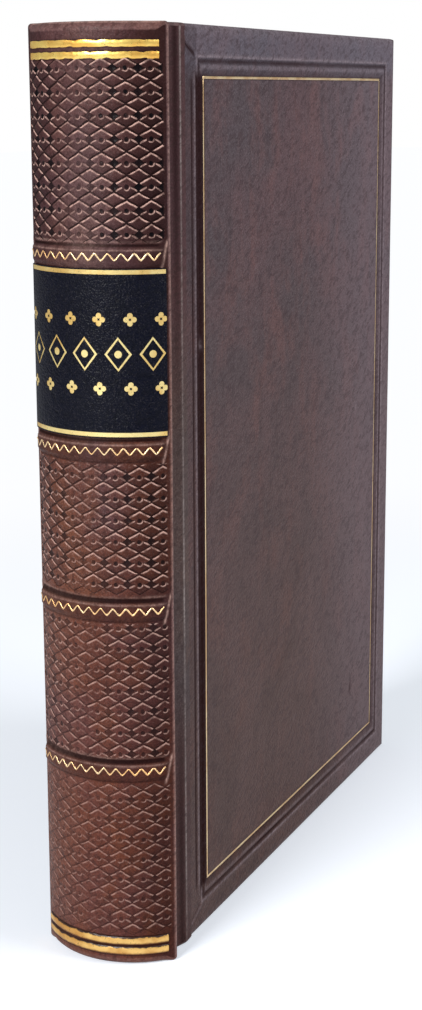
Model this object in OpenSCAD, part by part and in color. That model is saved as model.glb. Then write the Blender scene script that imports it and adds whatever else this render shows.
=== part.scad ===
// Leather-bound book, standing on its tail, with its spine towards -Y and its front cover on +X.
// Hand binding: rounded and backed leaves, sunk joints, raised bands, a tooled spine with a
// dark label, and panelled covers with a gilt line.

/* [Covers] */
// Height of a cover
cover_h = 210; // [180:1:300]
// Depth of a cover from its joint edge to its fore edge
cover_w = 147; // [110:1:220]
// Thickness of the closed book over its two covers
book_t = 30; // [26:0.5:50]
// How far a cover stands out past the leaves at head, tail and fore edge
square_w = 3; // [2:0.25:6]
// Thickness of a board
board_t = 3; // [2.25:0.25:3.5]
// Width of the rounding along the fore edge of a cover
cushion_w = 4; // [2.5:0.25:6]
// How far that rounding falls at the edge
cushion_d = 1.2; // [0.8:0.1:1.8]
// Radius of the head and tail edges of a cover
edge_r = 1.6; // [1:0.1:2]
// Radius of the joint edge of a cover
joint_edge_r = 1; // [0.6:0.1:1.6]
// Radius of the two outer corners of a cover
corner_r = 2.5; // [1:0.25:6]

/* [Cover panel] */
// Width of the flat border outside the blind line
border_w = 7; // [4:0.25:12]
// How much wider the border is beside the joint
joint_border = 2.4; // [0:0.2:6]
// Width of the blind line
line_w = 1.6; // [0.8:0.1:2.4]
// Depth of the blind line
line_d = 0.35; // [0.1:0.05:0.5]
// Width of the ledge between the blind line and the sunk panel
ledge_w = 0.7; // [0.3:0.1:2]
// Width of the bevel around the sunk panel
bevel_w = 1.5; // [0.6:0.1:3]
// Depth of the sunk panel
panel_d = 0.45; // [0.2:0.05:0.8]
// Length of the crease across each border corner beside the joint
crease_l = 7.5; // [4:0.25:9]
// Turn of that crease from the cover's depth
crease_turn = 24; // [15:1:40]

/* [Spine] */
// Width of the sunk joint between spine and cover
groove_w = 9; // [8.5:0.25:12]
// How far the spine bows out from its two ridges
spine_bow = 7.6; // [5:0.2:9]
// How far the bend at each ridge lies outside the cover's face
ridge_up = 1.1; // [0.2:0.1:1.6]
// Radius of the leather over a ridge
ridge_r = 1.2; // [1:0.1:1.6]
// Angle through which the leather turns from the cover's face into the joint
ridge_turn = 70; // [60:1:80]
// Radius at the bottom of the joint
joint_r = 1.2; // [0.6:0.1:1.6]
// Radius of the leather caps at head and tail
cap_r = 2; // [1:0.1:2.6]
// How far the caps reach over the leaves
cap_in = 3.4; // [2.8:0.1:4]

/* [Raised bands] */
// Distance from the tail to the lowest band
tail_panel_h = 47.3; // [40:0.1:52]
// Distance from the lowest band to the next
low_panel_h = 37.2; // [30:0.1:42]
// Distance between the two bands beside the label
label_panel_h = 41.6; // [36:0.1:48]
// Distance from the highest band to the head
head_panel_h = 48.1; // [40:0.1:54]
// Width of a band under the leather
band_w = 3; // [2:0.1:5]
// Height of a band
band_up = 0.8; // [0.4:0.1:1.2]
// Half of the angle that a band covers
band_a = 45; // [38:0.5:46]

/* [Layers] */
// Thickness of the covering leather
leather_t = 0.9; // [0.6:0.05:1]
// Thickness of the leather where it is turned in
turnin_t = 0.45; // [0.3:0.05:0.55]
// Width of the turned-in leather
turnin_w = 13; // [8:0.5:18]
// Thickness of an endpaper
endpaper_t = 0.2; // [0.15:0.05:0.3]
// Bare margin between the pasted endpaper and the cover's edge
paste_gap = 4.5; // [3:0.25:7]
// Thickness of a sewing tape
tape_t = 0.35; // [0.2:0.05:0.5]
// Width of a sewing tape
tape_w = 12; // [8:0.5:16]
// Thickness of the cloth lining on the spine
mull_t = 0.3; // [0.2:0.05:0.4]
// Thickness of the flattened paper tube behind the leather
hollow_t = 0.6; // [0.5:0.05:0.9]
// Thickness of the paper of that tube
hollow_wall = 0.15; // [0.1:0.05:0.2]
// Play between that tube and the leather
hollow_play = 0.15; // [0.1:0.05:0.2]
// Hollow of the leaves' fore edge
fore_hollow = 5; // [2:0.5:7]
// Radius of an endband's roll
endband_r = 1; // [0.7:0.05:1]
// Gap between a cover and what it closes on
run_gap = 0.3; // [0.2:0.05:0.5]

/* [Gilding] */
// Depth of the pressed lines
press_d = 0.12; // [0.08:0.01:0.2]
// Thickness of the gold in them
leaf_t = 0.06; // [0.04:0.01:0.08]
// Width of the line around the cover panel
fillet_w = 0.65; // [0.4:0.05:1.2]
// Width of the paired rules at head and tail
rule_w = 1.15; // [0.6:0.05:1.6]
// Distance from the head to the upper rule's middle
head_rule_z = 4.7; // [3.5:0.1:7]
// Distance from the tail to the lower rule's middle
tail_rule_z = 3; // [2.8:0.1:6]
// Distance between the middles of paired rules
rule_step = 2.4; // [1.8:0.1:4]
// Length of one wave of the zigzag along the band
zig_l = 3.1; // [2:0.1:5]
// Height of the zigzag
zig_h = 1.7; // [1:0.1:2]
// Stroke of the zigzag
zig_w = 0.4; // [0.25:0.05:0.6]

/* [Label] */
// Height of the label
label_h = 36.2; // [28:0.1:38]
// How far its middle lies above the middle between its two bands
label_up = 0.2; // [-2:0.1:2]
// Thickness of the label's leather
label_t = 0.35; // [0.2:0.05:0.5]
// Width of the rules along the label's edges
label_rule_w = 0.95; // [0.5:0.05:1.5]
// Size of the large ornament
ornament_s = 7.4; // [5:0.1:9]

/* [Hidden] */

// Spine arc: its outer face passes through both ridges and the bow between them
ridge_x = book_t / 2 + ridge_up;
arc_r = (ridge_x * ridge_x + spine_bow * spine_bow) / (2 * spine_bow);
arc_a = asin(ridge_x / arc_r);
arc_y = -groove_w - spine_bow + arc_r;

// Radii of the layers on the spine, from the leather inwards
leather_r = arc_r - leather_t;
hollow_r = leather_r - hollow_t;
lining_r = hollow_r - mull_t;
block_r = lining_r - tape_t;
band_r = arc_r + band_up;

// Thickness of the leaves and the faces that lie on them
board_x = book_t / 2 - leather_t - board_t;
paste_x = board_x - turnin_t - endpaper_t;
fly_x = paste_x - run_gap;
block_x = fly_x - endpaper_t;
joint_rest = 0.35;
joint_x = fly_x + joint_rest + leather_t;
block_h = cover_h - 2 * square_w;
fore_y = cover_w - square_w;

// The book's middle in depth lies on the origin
spine_y = arc_y - band_r;
shift_y = -(spine_y + cover_w) / 2;

// Centre of the bend over a ridge, and of the bend at the bottom of the joint
bend_x = (arc_r - ridge_r) * sin(arc_a);
bend_y = arc_y - (arc_r - ridge_r) * cos(arc_a);
dip_x = joint_x + joint_r;
dip_y = bend_y + (ridge_r + joint_r - (dip_x - bend_x) * cos(ridge_turn)) / sin(ridge_turn);

// Heights of the bands from tail to head
band_z = [
    tail_panel_h,
    tail_panel_h + low_panel_h,
    cover_h - head_panel_h - label_panel_h,
    cover_h - head_panel_h
];
band_round = 0.45;

// The lining and the hollow start just past the turned-in leather
back_low = turnin_w + 0.5;

// Rules and label stop short of the ridges
rule_a = arc_a - 4;
label_a = arc_a - 1.2;

// Sewing tapes, evenly spread over the height of the leaves
tape_n = 4;
tape_z = [for (i = [1:tape_n]) square_w + block_h * i / (tape_n + 1)];

// Margins of the panel's parts, from the cover's edge
ledge_m = border_w + line_w;
bevel_m = ledge_m + ledge_w;
panel_m = bevel_m + bevel_w;
fillet_gap = 0.1;

label_z = (band_z[2] + band_z[3]) / 2 + label_up;
label_r = arc_r + label_t;
zig_n = floor(2 * band_a * PI / 180 * band_r / zig_l) - 1;
over = 1;
arc_fn = 96;

function toward(a) = [sin(a), -cos(a)];
function turn(a) = [cos(a), sin(a)];
function bend(centre, r, from, to, n) = [for (i = [0:n]) centre + r * turn(from + (to - from) * i / n)];

// Moves the book's middle over the origin
module placed() {
    translate([0, shift_y, 0]) children();
}

// A closed ring section about the spine's centre, drawn as radius against height
module arc_sweep(half_a) {
    translate([0, arc_y, 0]) rotate([0, 0, -90 - half_a])
        rotate_extrude(angle = 2 * half_a, $fn = arc_fn) children();
}

module arc_wall(r1, r2, z1, z2, half_a) {
    arc_sweep(half_a) translate([r1, z1]) square([r2 - r1, z2 - z1]);
}

// Stands a flat shape on the spine's curve, s along the curve and z up, from radius r1 to r2
module on_arc(s, z, r1, r2) {
    translate([0, arc_y, 0]) rotate([0, 0, s / arc_r * 180 / PI]) translate([0, -r1, z])
        rotate([90, 0, 0]) linear_extrude(r2 - r1) children();
}

// Leaves: rounded and backed at the spine, hollow at the fore edge
module block_section() {
    side = ridge_r - leather_t - mull_t;
    foot = (bend_x - block_x) / sin(ridge_turn);
    tip = [bend_x, bend_y] + side * turn(ridge_turn);
    heel = tip + foot * turn(ridge_turn + 90);
    hollow_r2 = (block_x * block_x + fore_hollow * fore_hollow) / (2 * fore_hollow);
    difference() {
        union() {
            intersection() {
                translate([0, arc_y]) circle(block_r, $fn = arc_fn);
                polygon([
                    [-block_x, 0], [-heel[0], heel[1]], [-tip[0] - foot, tip[1] - foot],
                    [0, spine_y - over], [tip[0] + foot, tip[1] - foot],
                    [heel[0], heel[1]], [block_x, 0]
                ]);
            }
            translate([-block_x, -0.01]) square([2 * block_x, fore_y + 0.01]);
        }
        translate([0, fore_y - fore_hollow + hollow_r2]) circle(hollow_r2, $fn = arc_fn);
    }
}

module text_block() {
    color("antiquewhite") placed() translate([0, 0, square_w]) linear_extrude(block_h) block_section();
}

module flyleaf() {
    color("ivory") placed() translate([block_x, -groove_w / 2, square_w])
        cube([endpaper_t, fore_y + groove_w / 2, block_h]);
}

module front_flyleaf() {
    flyleaf();
}

module back_flyleaf() {
    mirror([1, 0, 0]) flyleaf();
}

// Endband: a worked roll on the leaves' edge, with its cloth skirt down the spine
module endband() {
    skirt_t = tape_t - 0.05;
    skirt_h = 7;
    roll_r = block_r + skirt_t / 2 - endband_r;
    color("burlywood") placed() arc_sweep(arc_a - 6) {
        intersection() {
            translate([roll_r, square_w - endband_r + 0.06]) circle(endband_r, $fn = 32);
            translate([roll_r - over - endband_r, -over]) square([2 * (over + endband_r), square_w + over]);
        }
        translate([block_r, square_w - endband_r]) square([skirt_t, skirt_h]);
    }
}

module tail_endband() {
    endband();
}

module head_endband() {
    translate([0, 0, cover_h]) mirror([0, 0, 1]) endband();
}

module sewing_tape(i) {
    color("linen") placed()
        arc_wall(block_r, lining_r, tape_z[i] - tape_w / 2, tape_z[i] + tape_w / 2, arc_a - 3);
}

module spine_lining() {
    color("wheat") placed() arc_wall(lining_r, hollow_r, back_low, cover_h - back_low, arc_a - 3);
}

// Flattened paper tube that lets the leather spring clear of the leaves
module spine_hollow() {
    outer = leather_r - hollow_play;
    color("tan") placed() difference() {
        arc_wall(hollow_r, outer, back_low, cover_h - back_low, arc_a - 3);
        arc_wall(hollow_r + hollow_wall, outer - hollow_wall, back_low - over, cover_h - back_low + over,
            arc_a - 5);
    }
}

// Section of a band, grown where the leather lies over it
module band_section(z, grow, r_in) {
    half = band_w / 2 + grow;
    top = arc_r - leather_t + band_up + grow;
    r = band_round + grow / 2;
    translate([r_in, z - half]) square([top - r - r_in, 2 * half]);
    translate([r_in, z - half + r]) square([top - r_in, 2 * (half - r)]);
    for (side = [-1, 1])
        translate([top - r, z + side * (half - r)]) circle(r, $fn = 48);
}

module raised_band(i) {
    color("saddlebrown") placed() arc_sweep(band_a) band_section(band_z[i], 0, leather_r);
}

// Section of the spine leather with its caps and turned-in ends
module spine_section() {
    difference() {
        translate([leather_r, 0]) square([leather_t, cover_h]);
        for (end = [0, 1])
            translate([arc_r - cap_r, end * cover_h]) mirror([0, end, 0]) cap_corner();
    }
    for (end = [0, 1]) translate([0, end * cover_h]) mirror([0, end, 0]) {
        cap_lip();
        translate([leather_r - turnin_t, leather_t]) square([turnin_t + 0.01, turnin_w - leather_t]);
    }
}

module cap_corner() {
    translate([0, -over]) difference() {
        square([cap_r + over, cap_r + over]);
        translate([0, cap_r + over]) circle(cap_r, $fn = 64);
    }
}

module cap_lip() {
    lip = leather_t / 2;
    intersection() {
        difference() {
            translate([arc_r - cap_r, cap_r]) circle(cap_r, $fn = 64);
            translate([arc_r - cap_r, cap_r]) circle(cap_r - leather_t, $fn = 64);
        }
        translate([arc_r - cap_r, 0]) square([cap_r, cap_r]);
    }
    translate([arc_r - cap_in + lip, 0]) square([cap_in - cap_r - lip + 0.01, leather_t]);
    translate([arc_r - cap_in + lip, lip]) circle(lip, $fn = 32);
}

// Leather from the ridge down into the joint and along its bottom
module joint_section() {
    ridge = [bend_x, bend_y];
    dip = [dip_x, dip_y];
    lap = 1.5;
    sunk = 0.2;
    polygon(concat(
        [[0, arc_y] + (arc_r - sunk) * toward(arc_a - lap)],
        bend(ridge, ridge_r, arc_a - 90, ridge_turn, 12),
        bend(dip, -joint_r, ridge_turn, 0, 7),
        [[joint_x, -run_gap], [joint_x - leather_t, -run_gap]],
        bend(dip, -joint_r - leather_t, 0, ridge_turn, 7),
        bend(ridge, ridge_r - leather_t, ridge_turn, arc_a - 90, 6),
        [[0, arc_y] + (leather_r + sunk) * toward(arc_a - lap)]
    ));
}

// The joint's strip of leather, its two ends rounded as the caps are
module joint_strip() {
    wide = bend_x + ridge_r;
    intersection() {
        linear_extrude(cover_h) joint_section();
        rotate([90, 0, 0]) linear_extrude(-spine_y) difference() {
            square([wide + over, cover_h]);
            for (end = [0, 1])
                translate([wide - cap_r, end * cover_h]) mirror([0, end]) cap_corner();
        }
    }
}

module spine_leather() {
    color([0.27, 0.16, 0.14]) placed() difference() {
        union() {
            arc_sweep(arc_a) spine_section();
            for (side = [0, 1]) mirror([side, 0, 0]) joint_strip();
            for (z = band_z) arc_sweep(band_a + 2) band_section(z, leather_t, leather_r + 0.1);
        }
        for (z = band_z) {
            arc_sweep(band_a) band_section(z, 0, leather_r - over);
            zigzag(z, band_r - press_d, band_r + over);
        }
        paired_rules(head_rules(), arc_r - press_d, arc_r + 0.3);
        paired_rules(tail_rules(), arc_r - press_d, arc_r + 0.3);
    }
}

function head_rules() = [cover_h - head_rule_z, cover_h - head_rule_z - rule_step];
function tail_rules() = [tail_rule_z, tail_rule_z + rule_step];

module paired_rules(heights, r1, r2) {
    for (z = heights) arc_wall(r1, r2, z - rule_w / 2, z + rule_w / 2, rule_a);
}

module head_gilt_rules() {
    color("goldenrod") placed() paired_rules(head_rules(), arc_r - press_d, arc_r - press_d + leaf_t);
}

module tail_gilt_rules() {
    color("goldenrod") placed() paired_rules(tail_rules(), arc_r - press_d, arc_r - press_d + leaf_t);
}

// One wave of the zigzag, a little long so that the waves join
module zig_wave() {
    half = zig_l / 2 + 0.06;
    rise = zig_h / 2 - zig_w / 2;
    tall = zig_w * sqrt(1 + pow(4 * rise / zig_l, 2)) / 2;
    polygon([
        [-half, -rise - tall], [0, rise - tall], [half, -rise - tall],
        [half, -rise + tall], [0, rise + tall], [-half, -rise + tall]
    ]);
}

module zigzag(z, r1, r2) {
    step = zig_l * arc_r / band_r;
    intersection() {
        arc_wall(r1, r2, z - zig_h, z + zig_h, band_a);
        for (i = [0:zig_n - 1]) on_arc((i - (zig_n - 1) / 2) * step, z, r1 - 0.3, r2 + 0.3) zig_wave();
    }
}

module band_gilding(i) {
    color("gold") placed() zigzag(band_z[i], band_r - press_d, band_r - press_d + leaf_t);
}

// Label with rules along its edges and a row of plain ornaments
module label_rules(r1, r2) {
    for (side = [-1, 1])
        arc_wall(r1, r2, label_z + side * (label_h / 2 - 0.7) - label_rule_w / 2,
            label_z + side * (label_h / 2 - 0.7) + label_rule_w / 2, label_a - 0.3);
}

module lozenge(w, h, stroke) {
    difference() {
        polygon([[-w / 2, 0], [0, h / 2], [w / 2, 0], [0, -h / 2]]);
        polygon([[-w / 2 + stroke, 0], [0, h / 2 - stroke], [w / 2 - stroke, 0], [0, -h / 2 + stroke]]);
    }
}

module ornament() {
    lozenge(ornament_s * 0.8, ornament_s, ornament_s / 12);
    circle(ornament_s / 9, $fn = 24);
}

module small_ornament() {
    for (q = [0:3]) rotate(q * 90) translate([ornament_s / 9, 0]) circle(ornament_s / 12, $fn = 24);
}

module label_ornaments(r1, r2) {
    intersection() {
        arc_wall(r1, r2, label_z - label_h / 2, label_z + label_h / 2, label_a);
        union() {
            for (j = [-2:2]) on_arc(j * ornament_s, label_z, r1 - 0.6, r2 + 0.6) ornament();
            for (j = [-3:2], side = [-1, 1])
                on_arc((j + 0.5) * ornament_s * 0.9, label_z + side * ornament_s, r1 - 0.6, r2 + 0.6)
                    small_ornament();
        }
    }
}

module title_label() {
    color([0.06, 0.08, 0.16]) placed() difference() {
        arc_wall(arc_r, label_r, label_z - label_h / 2, label_z + label_h / 2, label_a);
        label_rules(label_r - press_d, label_r + over);
        label_ornaments(label_r - press_d, label_r + 0.5);
    }
}

module label_gilding() {
    color("gold") placed() {
        label_rules(label_r - press_d, label_r - press_d + leaf_t);
        label_ornaments(label_r - press_d, label_r - press_d + leaf_t);
    }
}

// Cuts one outer edge of a cover's section to an arc that starts at reach from the edge
module round_edge(width, reach, r) {
    translate([-r, width - reach]) difference() {
        square([r + over, reach + over]);
        circle(r, $fn = 96);
    }
}

// A cover in place for the front: x out from the board's inner face, y from the joint, z up
module cover_form(grow, inner) {
    low = leather_t - grow;
    wide = cover_w - leather_t + grow;
    high = cover_h - leather_t + grow;
    deep = board_t + grow;
    cushion_r = (cushion_w * cushion_w + cushion_d * cushion_d) / (2 * cushion_d) - leather_t + grow;
    head_r = edge_r - leather_t + grow;
    side_r = joint_edge_r - leather_t + grow;
    round_r = corner_r - leather_t + grow;
    intersection() {
        linear_extrude(cover_h) difference() {
            translate([-inner, low]) square([deep + inner, wide - low]);
            translate([deep, 0]) round_edge(wide, wide - cover_w + cushion_w, cushion_r);
            translate([deep, low]) mirror([0, 1]) round_edge(0, side_r, side_r);
        }
        translate([0, cover_w, 0]) rotate([90, 0, 0]) linear_extrude(cover_w) difference() {
            translate([-inner, low]) square([deep + inner, high - low]);
            translate([deep, 0]) round_edge(high, head_r, head_r);
            translate([deep, low]) mirror([0, 1]) round_edge(0, head_r, head_r);
        }
        translate([-over, 0, 0]) rotate([90, 0, 90]) linear_extrude(board_t + 2 * over + leather_t)
            difference() {
                translate([low, low]) square([wide - low, high - low]);
                for (end = [0, 1]) translate([0, end * cover_h]) mirror([0, end])
                    translate([wide - round_r, low]) difference() {
                        translate([0, -over]) square([round_r + over, round_r + over]);
                        translate([0, round_r]) circle(round_r, $fn = 64);
                    }
            }
    }
}

// Four-sided pocket in a cover's face, margin m1 at depth d1 and m2 at depth d2
module frame_pocket(face, d1, m1, d2, m2) {
    intersection() {
        linear_extrude(cover_h) polygon([
            [face - d1, m1 + joint_border], [face - d2, m2 + joint_border],
            [face - d2, cover_w - m2], [face - d1, cover_w - m1]
        ]);
        translate([0, cover_w, 0]) rotate([90, 0, 0]) linear_extrude(cover_w) polygon([
            [face - d1, m1], [face - d2, m2], [face - d2, cover_h - m2], [face - d1, cover_h - m1]
        ]);
    }
}

module panel_pocket(face) {
    out = 0.5;
    frame_pocket(face, -out, bevel_m - out * bevel_w / panel_d, panel_d, panel_m);
}

// Blind line: a groove with two sloping sides around the panel
module blind_line(face) {
    out = 0.5;
    slope = line_w / 2 / line_d;
    difference() {
        frame_pocket(face, -out, border_w - out * slope, line_d, border_w + line_w / 2);
        frame_pocket(face, -2 * out, ledge_m + 2 * out * slope, line_d + over, ledge_m - (line_d + over) * slope);
    }
}

// Creases that run from the blind line's two corners beside the joint to the cover's corners
module corner_creases(face) {
    deep = line_d * 0.8;
    wide = line_w * 0.9;
    for (end = [0, 1]) translate([face, 0, end * cover_h]) mirror([0, 0, end])
        translate([0, border_w + joint_border, border_w]) rotate([crease_turn + 90, 0, 0])
            translate([0, 0, -0.3]) linear_extrude(crease_l)
                polygon([[-deep, 0], [deep, wide], [deep, -wide]]);
}

module fillet_track(d1, d2) {
    face = board_t + leather_t - panel_d;
    m = panel_m + fillet_gap;
    difference() {
        frame_pocket(face, d1, m, d2, m);
        frame_pocket(face, d1 - over, m + fillet_w, d2 + over, m + fillet_w);
    }
}

module cover_placed() {
    placed() translate([board_x, 0, 0]) children();
}

module board() {
    color([0.55, 0.5, 0.42]) cover_placed() board_form();
}

module board_form() {
    difference() {
        cover_form(0, 0);
        panel_pocket(board_t);
    }
}

module leather() {
    face = board_t + leather_t;
    color([0.31, 0.26, 0.27]) cover_placed() difference() {
        cover_form(leather_t, turnin_t);
        panel_pocket(face);
        blind_line(face);
        corner_creases(face);
        fillet_track(-over, press_d);
        board_form();
        translate([-over, leather_t, turnin_w])
            cube([over, cover_w - leather_t - turnin_w, cover_h - 2 * turnin_w]);
        translate([-over, leather_t, leather_t]) cube([over, turnin_t, cover_h - 2 * leather_t]);
    }
}

module infill() {
    color("gainsboro") cover_placed() translate([-turnin_t, leather_t, turnin_w])
        cube([turnin_t, cover_w - leather_t - turnin_w, cover_h - 2 * turnin_w]);
}

module pastedown() {
    color("ivory") cover_placed() translate([-turnin_t - endpaper_t, run_gap, paste_gap])
        cube([endpaper_t, cover_w - run_gap - paste_gap, cover_h - 2 * paste_gap]);
}

module gilt_fillet() {
    color("gold") cover_placed() fillet_track(press_d - leaf_t, press_d);
}

module front_board() {
    board();
}

module front_leather() {
    leather();
}

module front_infill() {
    infill();
}

module front_pastedown() {
    pastedown();
}

module front_gilt_fillet() {
    gilt_fillet();
}

module back_board() {
    mirror([1, 0, 0]) board();
}

module back_leather() {
    mirror([1, 0, 0]) leather();
}

module back_infill() {
    mirror([1, 0, 0]) infill();
}

module back_pastedown() {
    mirror([1, 0, 0]) pastedown();
}

module back_gilt_fillet() {
    mirror([1, 0, 0]) gilt_fillet();
}

text_block();
front_flyleaf();
back_flyleaf();
head_endband();
tail_endband();
sewing_tape(0);  // sewing_tape_1
sewing_tape(1);  // sewing_tape_2
sewing_tape(2);  // sewing_tape_3
sewing_tape(3);  // sewing_tape_4
spine_lining();
spine_hollow();
raised_band(0);  // raised_band_1
raised_band(1);  // raised_band_2
raised_band(2);  // raised_band_3
raised_band(3);  // raised_band_4
spine_leather();
title_label();
label_gilding();
head_gilt_rules();
tail_gilt_rules();
band_gilding(0);  // band_gilding_1
band_gilding(1);  // band_gilding_2
band_gilding(2);  // band_gilding_3
band_gilding(3);  // band_gilding_4
front_board();
front_leather();
front_infill();
front_pastedown();
front_gilt_fillet();
back_board();
back_leather();
back_infill();
back_pastedown();
back_gilt_fillet();
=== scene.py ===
import math
from functools import partialmethod

import bpy
import numpy as np
from mathutils import Matrix, Vector


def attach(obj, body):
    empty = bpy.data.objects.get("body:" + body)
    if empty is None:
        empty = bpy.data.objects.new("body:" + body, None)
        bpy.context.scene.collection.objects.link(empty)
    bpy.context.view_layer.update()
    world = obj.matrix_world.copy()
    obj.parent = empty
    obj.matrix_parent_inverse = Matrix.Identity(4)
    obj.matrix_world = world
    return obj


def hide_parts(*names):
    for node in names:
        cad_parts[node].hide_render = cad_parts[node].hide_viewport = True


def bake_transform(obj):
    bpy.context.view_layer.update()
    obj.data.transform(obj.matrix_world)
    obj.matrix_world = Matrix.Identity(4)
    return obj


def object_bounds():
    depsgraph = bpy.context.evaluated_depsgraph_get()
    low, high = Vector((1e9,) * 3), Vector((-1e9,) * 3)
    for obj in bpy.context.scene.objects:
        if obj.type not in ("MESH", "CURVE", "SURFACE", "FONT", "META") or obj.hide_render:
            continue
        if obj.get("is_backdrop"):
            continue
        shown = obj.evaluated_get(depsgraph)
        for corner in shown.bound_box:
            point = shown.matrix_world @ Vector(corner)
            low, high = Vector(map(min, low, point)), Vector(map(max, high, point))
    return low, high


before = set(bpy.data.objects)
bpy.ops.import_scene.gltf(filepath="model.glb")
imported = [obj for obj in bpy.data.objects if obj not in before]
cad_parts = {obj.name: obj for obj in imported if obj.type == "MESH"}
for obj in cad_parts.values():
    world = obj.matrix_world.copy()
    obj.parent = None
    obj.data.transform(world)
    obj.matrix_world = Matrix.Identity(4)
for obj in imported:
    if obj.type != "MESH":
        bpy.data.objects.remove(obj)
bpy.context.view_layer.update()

# Leaves: folded sheets of cream paper, sewn in gatherings, rounded and backed so that their
# spine edge fans out under the boards. The fore edge is hollow, as the spine is round.
# Sizes are in millimetres from the covers' joint edge; to_row() puts them in the row frame.
JOINT_EDGE_Y = -64.80
COVER_H = 210.0
SPINE_CENTRE_Y = 4.253
BLOCK_X = 9.95
SQUARE = 3.0
LEAVES = 264
GATHERING = 12
SHOULDER_Y = -6.34
BACK_R = 18.70
BACK_TURN = math.radians(49.5)
FORE_Y = 144.0
FORE_HOLLOW = 5.0
# How unevenly the sheets are cut, how far a gathering's outer sheets stand back, the soft corner
CUT_UNEVEN = 0.035
FOLD_BACK = 0.10
CUT_SOFT = 0.06


def to_row(points):
    moved = np.array(points, float)
    moved[..., 1] += JOINT_EDGE_Y
    return moved * 0.001


def make_piece(name, points, faces, material, marks=None):
    """A smooth mesh of one material; marks are values kept at its points."""
    mesh = bpy.data.meshes.new(name)
    mesh.from_pydata(to_row(points).reshape(-1, 3).tolist(), [], faces)
    mesh.polygons.foreach_set("use_smooth", [True] * len(faces))
    for label, values in (marks or {}).items():
        layer = mesh.attributes.new(label, "FLOAT", "POINT")
        layer.data.foreach_set("value", np.asarray(values, np.float32).ravel())
    mesh.materials.append(material)
    mesh.update()
    piece = bpy.data.objects.new(name, mesh)
    bpy.context.scene.collection.objects.link(piece)
    return piece


def quads(index, ring=False):
    """Faces between the rows and columns of a grid of point numbers; ring joins each row's ends."""
    if ring:
        index = np.concatenate([index, index[:, :1]], axis=1)
    return np.stack([index[:-1, :-1], index[:-1, 1:], index[1:, 1:], index[1:, :-1]], -1).reshape(-1, 4)


def grid_piece(name, points, material, marks=None, ring=False, caps=False):
    """A mesh on a grid of rows and columns; caps close its first and last row."""
    index = np.arange(points.shape[0] * points.shape[1]).reshape(points.shape[:2])
    faces = quads(index, ring).tolist()
    if caps:
        faces += [index[0, ::-1].tolist(), index[-1].tolist()]
    return make_piece(name, points, faces, material, marks)


class Nodes:
    """Short names for building a material's or a group's nodes."""

    def __init__(self, tree):
        self.tree = tree

    def feed(self, socket, value):
        if isinstance(value, bpy.types.NodeSocket):
            self.tree.links.new(value, socket)
        elif value is not None:
            if hasattr(socket.default_value, "__len__") and len(socket.default_value) == 4 and len(value) == 3:
                value = (*value, 1.0)
            socket.default_value = value

    def fill(self, made, **values):
        """Feeds a node's sockets by name, with _ for a space, and gives its outputs."""
        for label, value in values.items():
            self.feed(made.inputs[label.replace("_", " ")], value)
        return made.outputs

    def add(self, kind, **settings):
        made = self.tree.nodes.new("ShaderNode" + kind)
        for key, value in settings.items():
            setattr(made, key, value)
        return made

    def math(self, operation, a, b=None, c=None, clamp=False):
        made = self.add("Math", operation=operation, use_clamp=clamp)
        for socket, value in zip(made.inputs, (a, b, c)):
            self.feed(socket, value)
        return made.outputs[0]

    # more(value, share, start) is value times share, and start added
    plus = partialmethod(math, "ADD")
    minus = partialmethod(math, "SUBTRACT")
    times = partialmethod(math, "MULTIPLY")
    most = partialmethod(math, "MAXIMUM")
    more = partialmethod(math, "MULTIPLY_ADD")

    def noise(self, where, scale, detail=4.0, rough=0.55, distortion=0.0):
        return self.fill(self.add("TexNoise"), Vector=where, Scale=scale, Detail=detail, Roughness=rough,
                         Distortion=distortion)["Fac"]

    def ribs(self, scale, distortion=0.0):
        """Even level lines, as of laid paper or cloth."""
        return self.fill(self.add("TexWave", bands_direction="Z"), Vector=self.own(), Scale=scale,
                         Distortion=distortion)["Fac"]

    def stretch(self, where, by=(1.0, 1.0, 1.0), turn=(0.0, 0.0, 0.0), shift=(0.0, 0.0, 0.0)):
        return self.fill(self.add("Mapping"), Vector=where, Location=shift, Scale=by, Rotation=turn)[0]

    def band(self, value, low, high, out_low=0.0, out_high=1.0):
        return self.fill(self.add("MapRange", interpolation_type="SMOOTHSTEP"), Value=value, From_Min=low,
                         From_Max=high, To_Min=out_low, To_Max=out_high)[0]

    def mix(self, fac, a, b):
        """Mixes two colours; 6, 7 and 2 are the node's colour sockets."""
        made = self.add("Mix", data_type="RGBA")
        for key, value in ((0, fac), (6, a), (7, b)):
            self.feed(made.inputs[key], value)
        return made.outputs[2]

    def bump(self, height, strength, distance, normal=None):
        return self.fill(self.add("Bump"), Height=height, Strength=strength, Distance=distance, Normal=normal)[0]

    def paint(self, colour, rough, normal=None, **others):
        shader = self.tree.nodes["Principled BSDF"]
        self.fill(shader, Base_Color=colour, Roughness=rough, Normal=normal, **others)

    def own(self):
        return self.add("TexCoord").outputs["Object"]

    def mark(self, label):
        return self.add("Attribute", attribute_name=label).outputs["Fac"]

    def group(self, tree, **values):
        return self.fill(self.add("Group", node_tree=tree), **values)


def new_material(name):
    made = bpy.data.materials.new(name)
    made.use_nodes = True
    return made, Nodes(made.node_tree)


def new_group(name, inputs, outputs):
    """A shader node group. An input without a value is a colour, and so is the output Color."""
    tree = bpy.data.node_groups.new(name, "ShaderNodeTree")
    for label, value in inputs.items():
        kind = "NodeSocketColor" if value is None else "NodeSocketFloat"
        socket = tree.interface.new_socket(name=label, in_out="INPUT", socket_type=kind)
        if value is not None:
            socket.default_value = value
    for label in outputs:
        kind = "NodeSocketColor" if label == "Color" else "NodeSocketFloat"
        tree.interface.new_socket(name=label, in_out="OUTPUT", socket_type=kind)
    return tree, Nodes(tree), tree.nodes.new("NodeGroupInput").outputs, tree.nodes.new("NodeGroupOutput")


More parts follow.
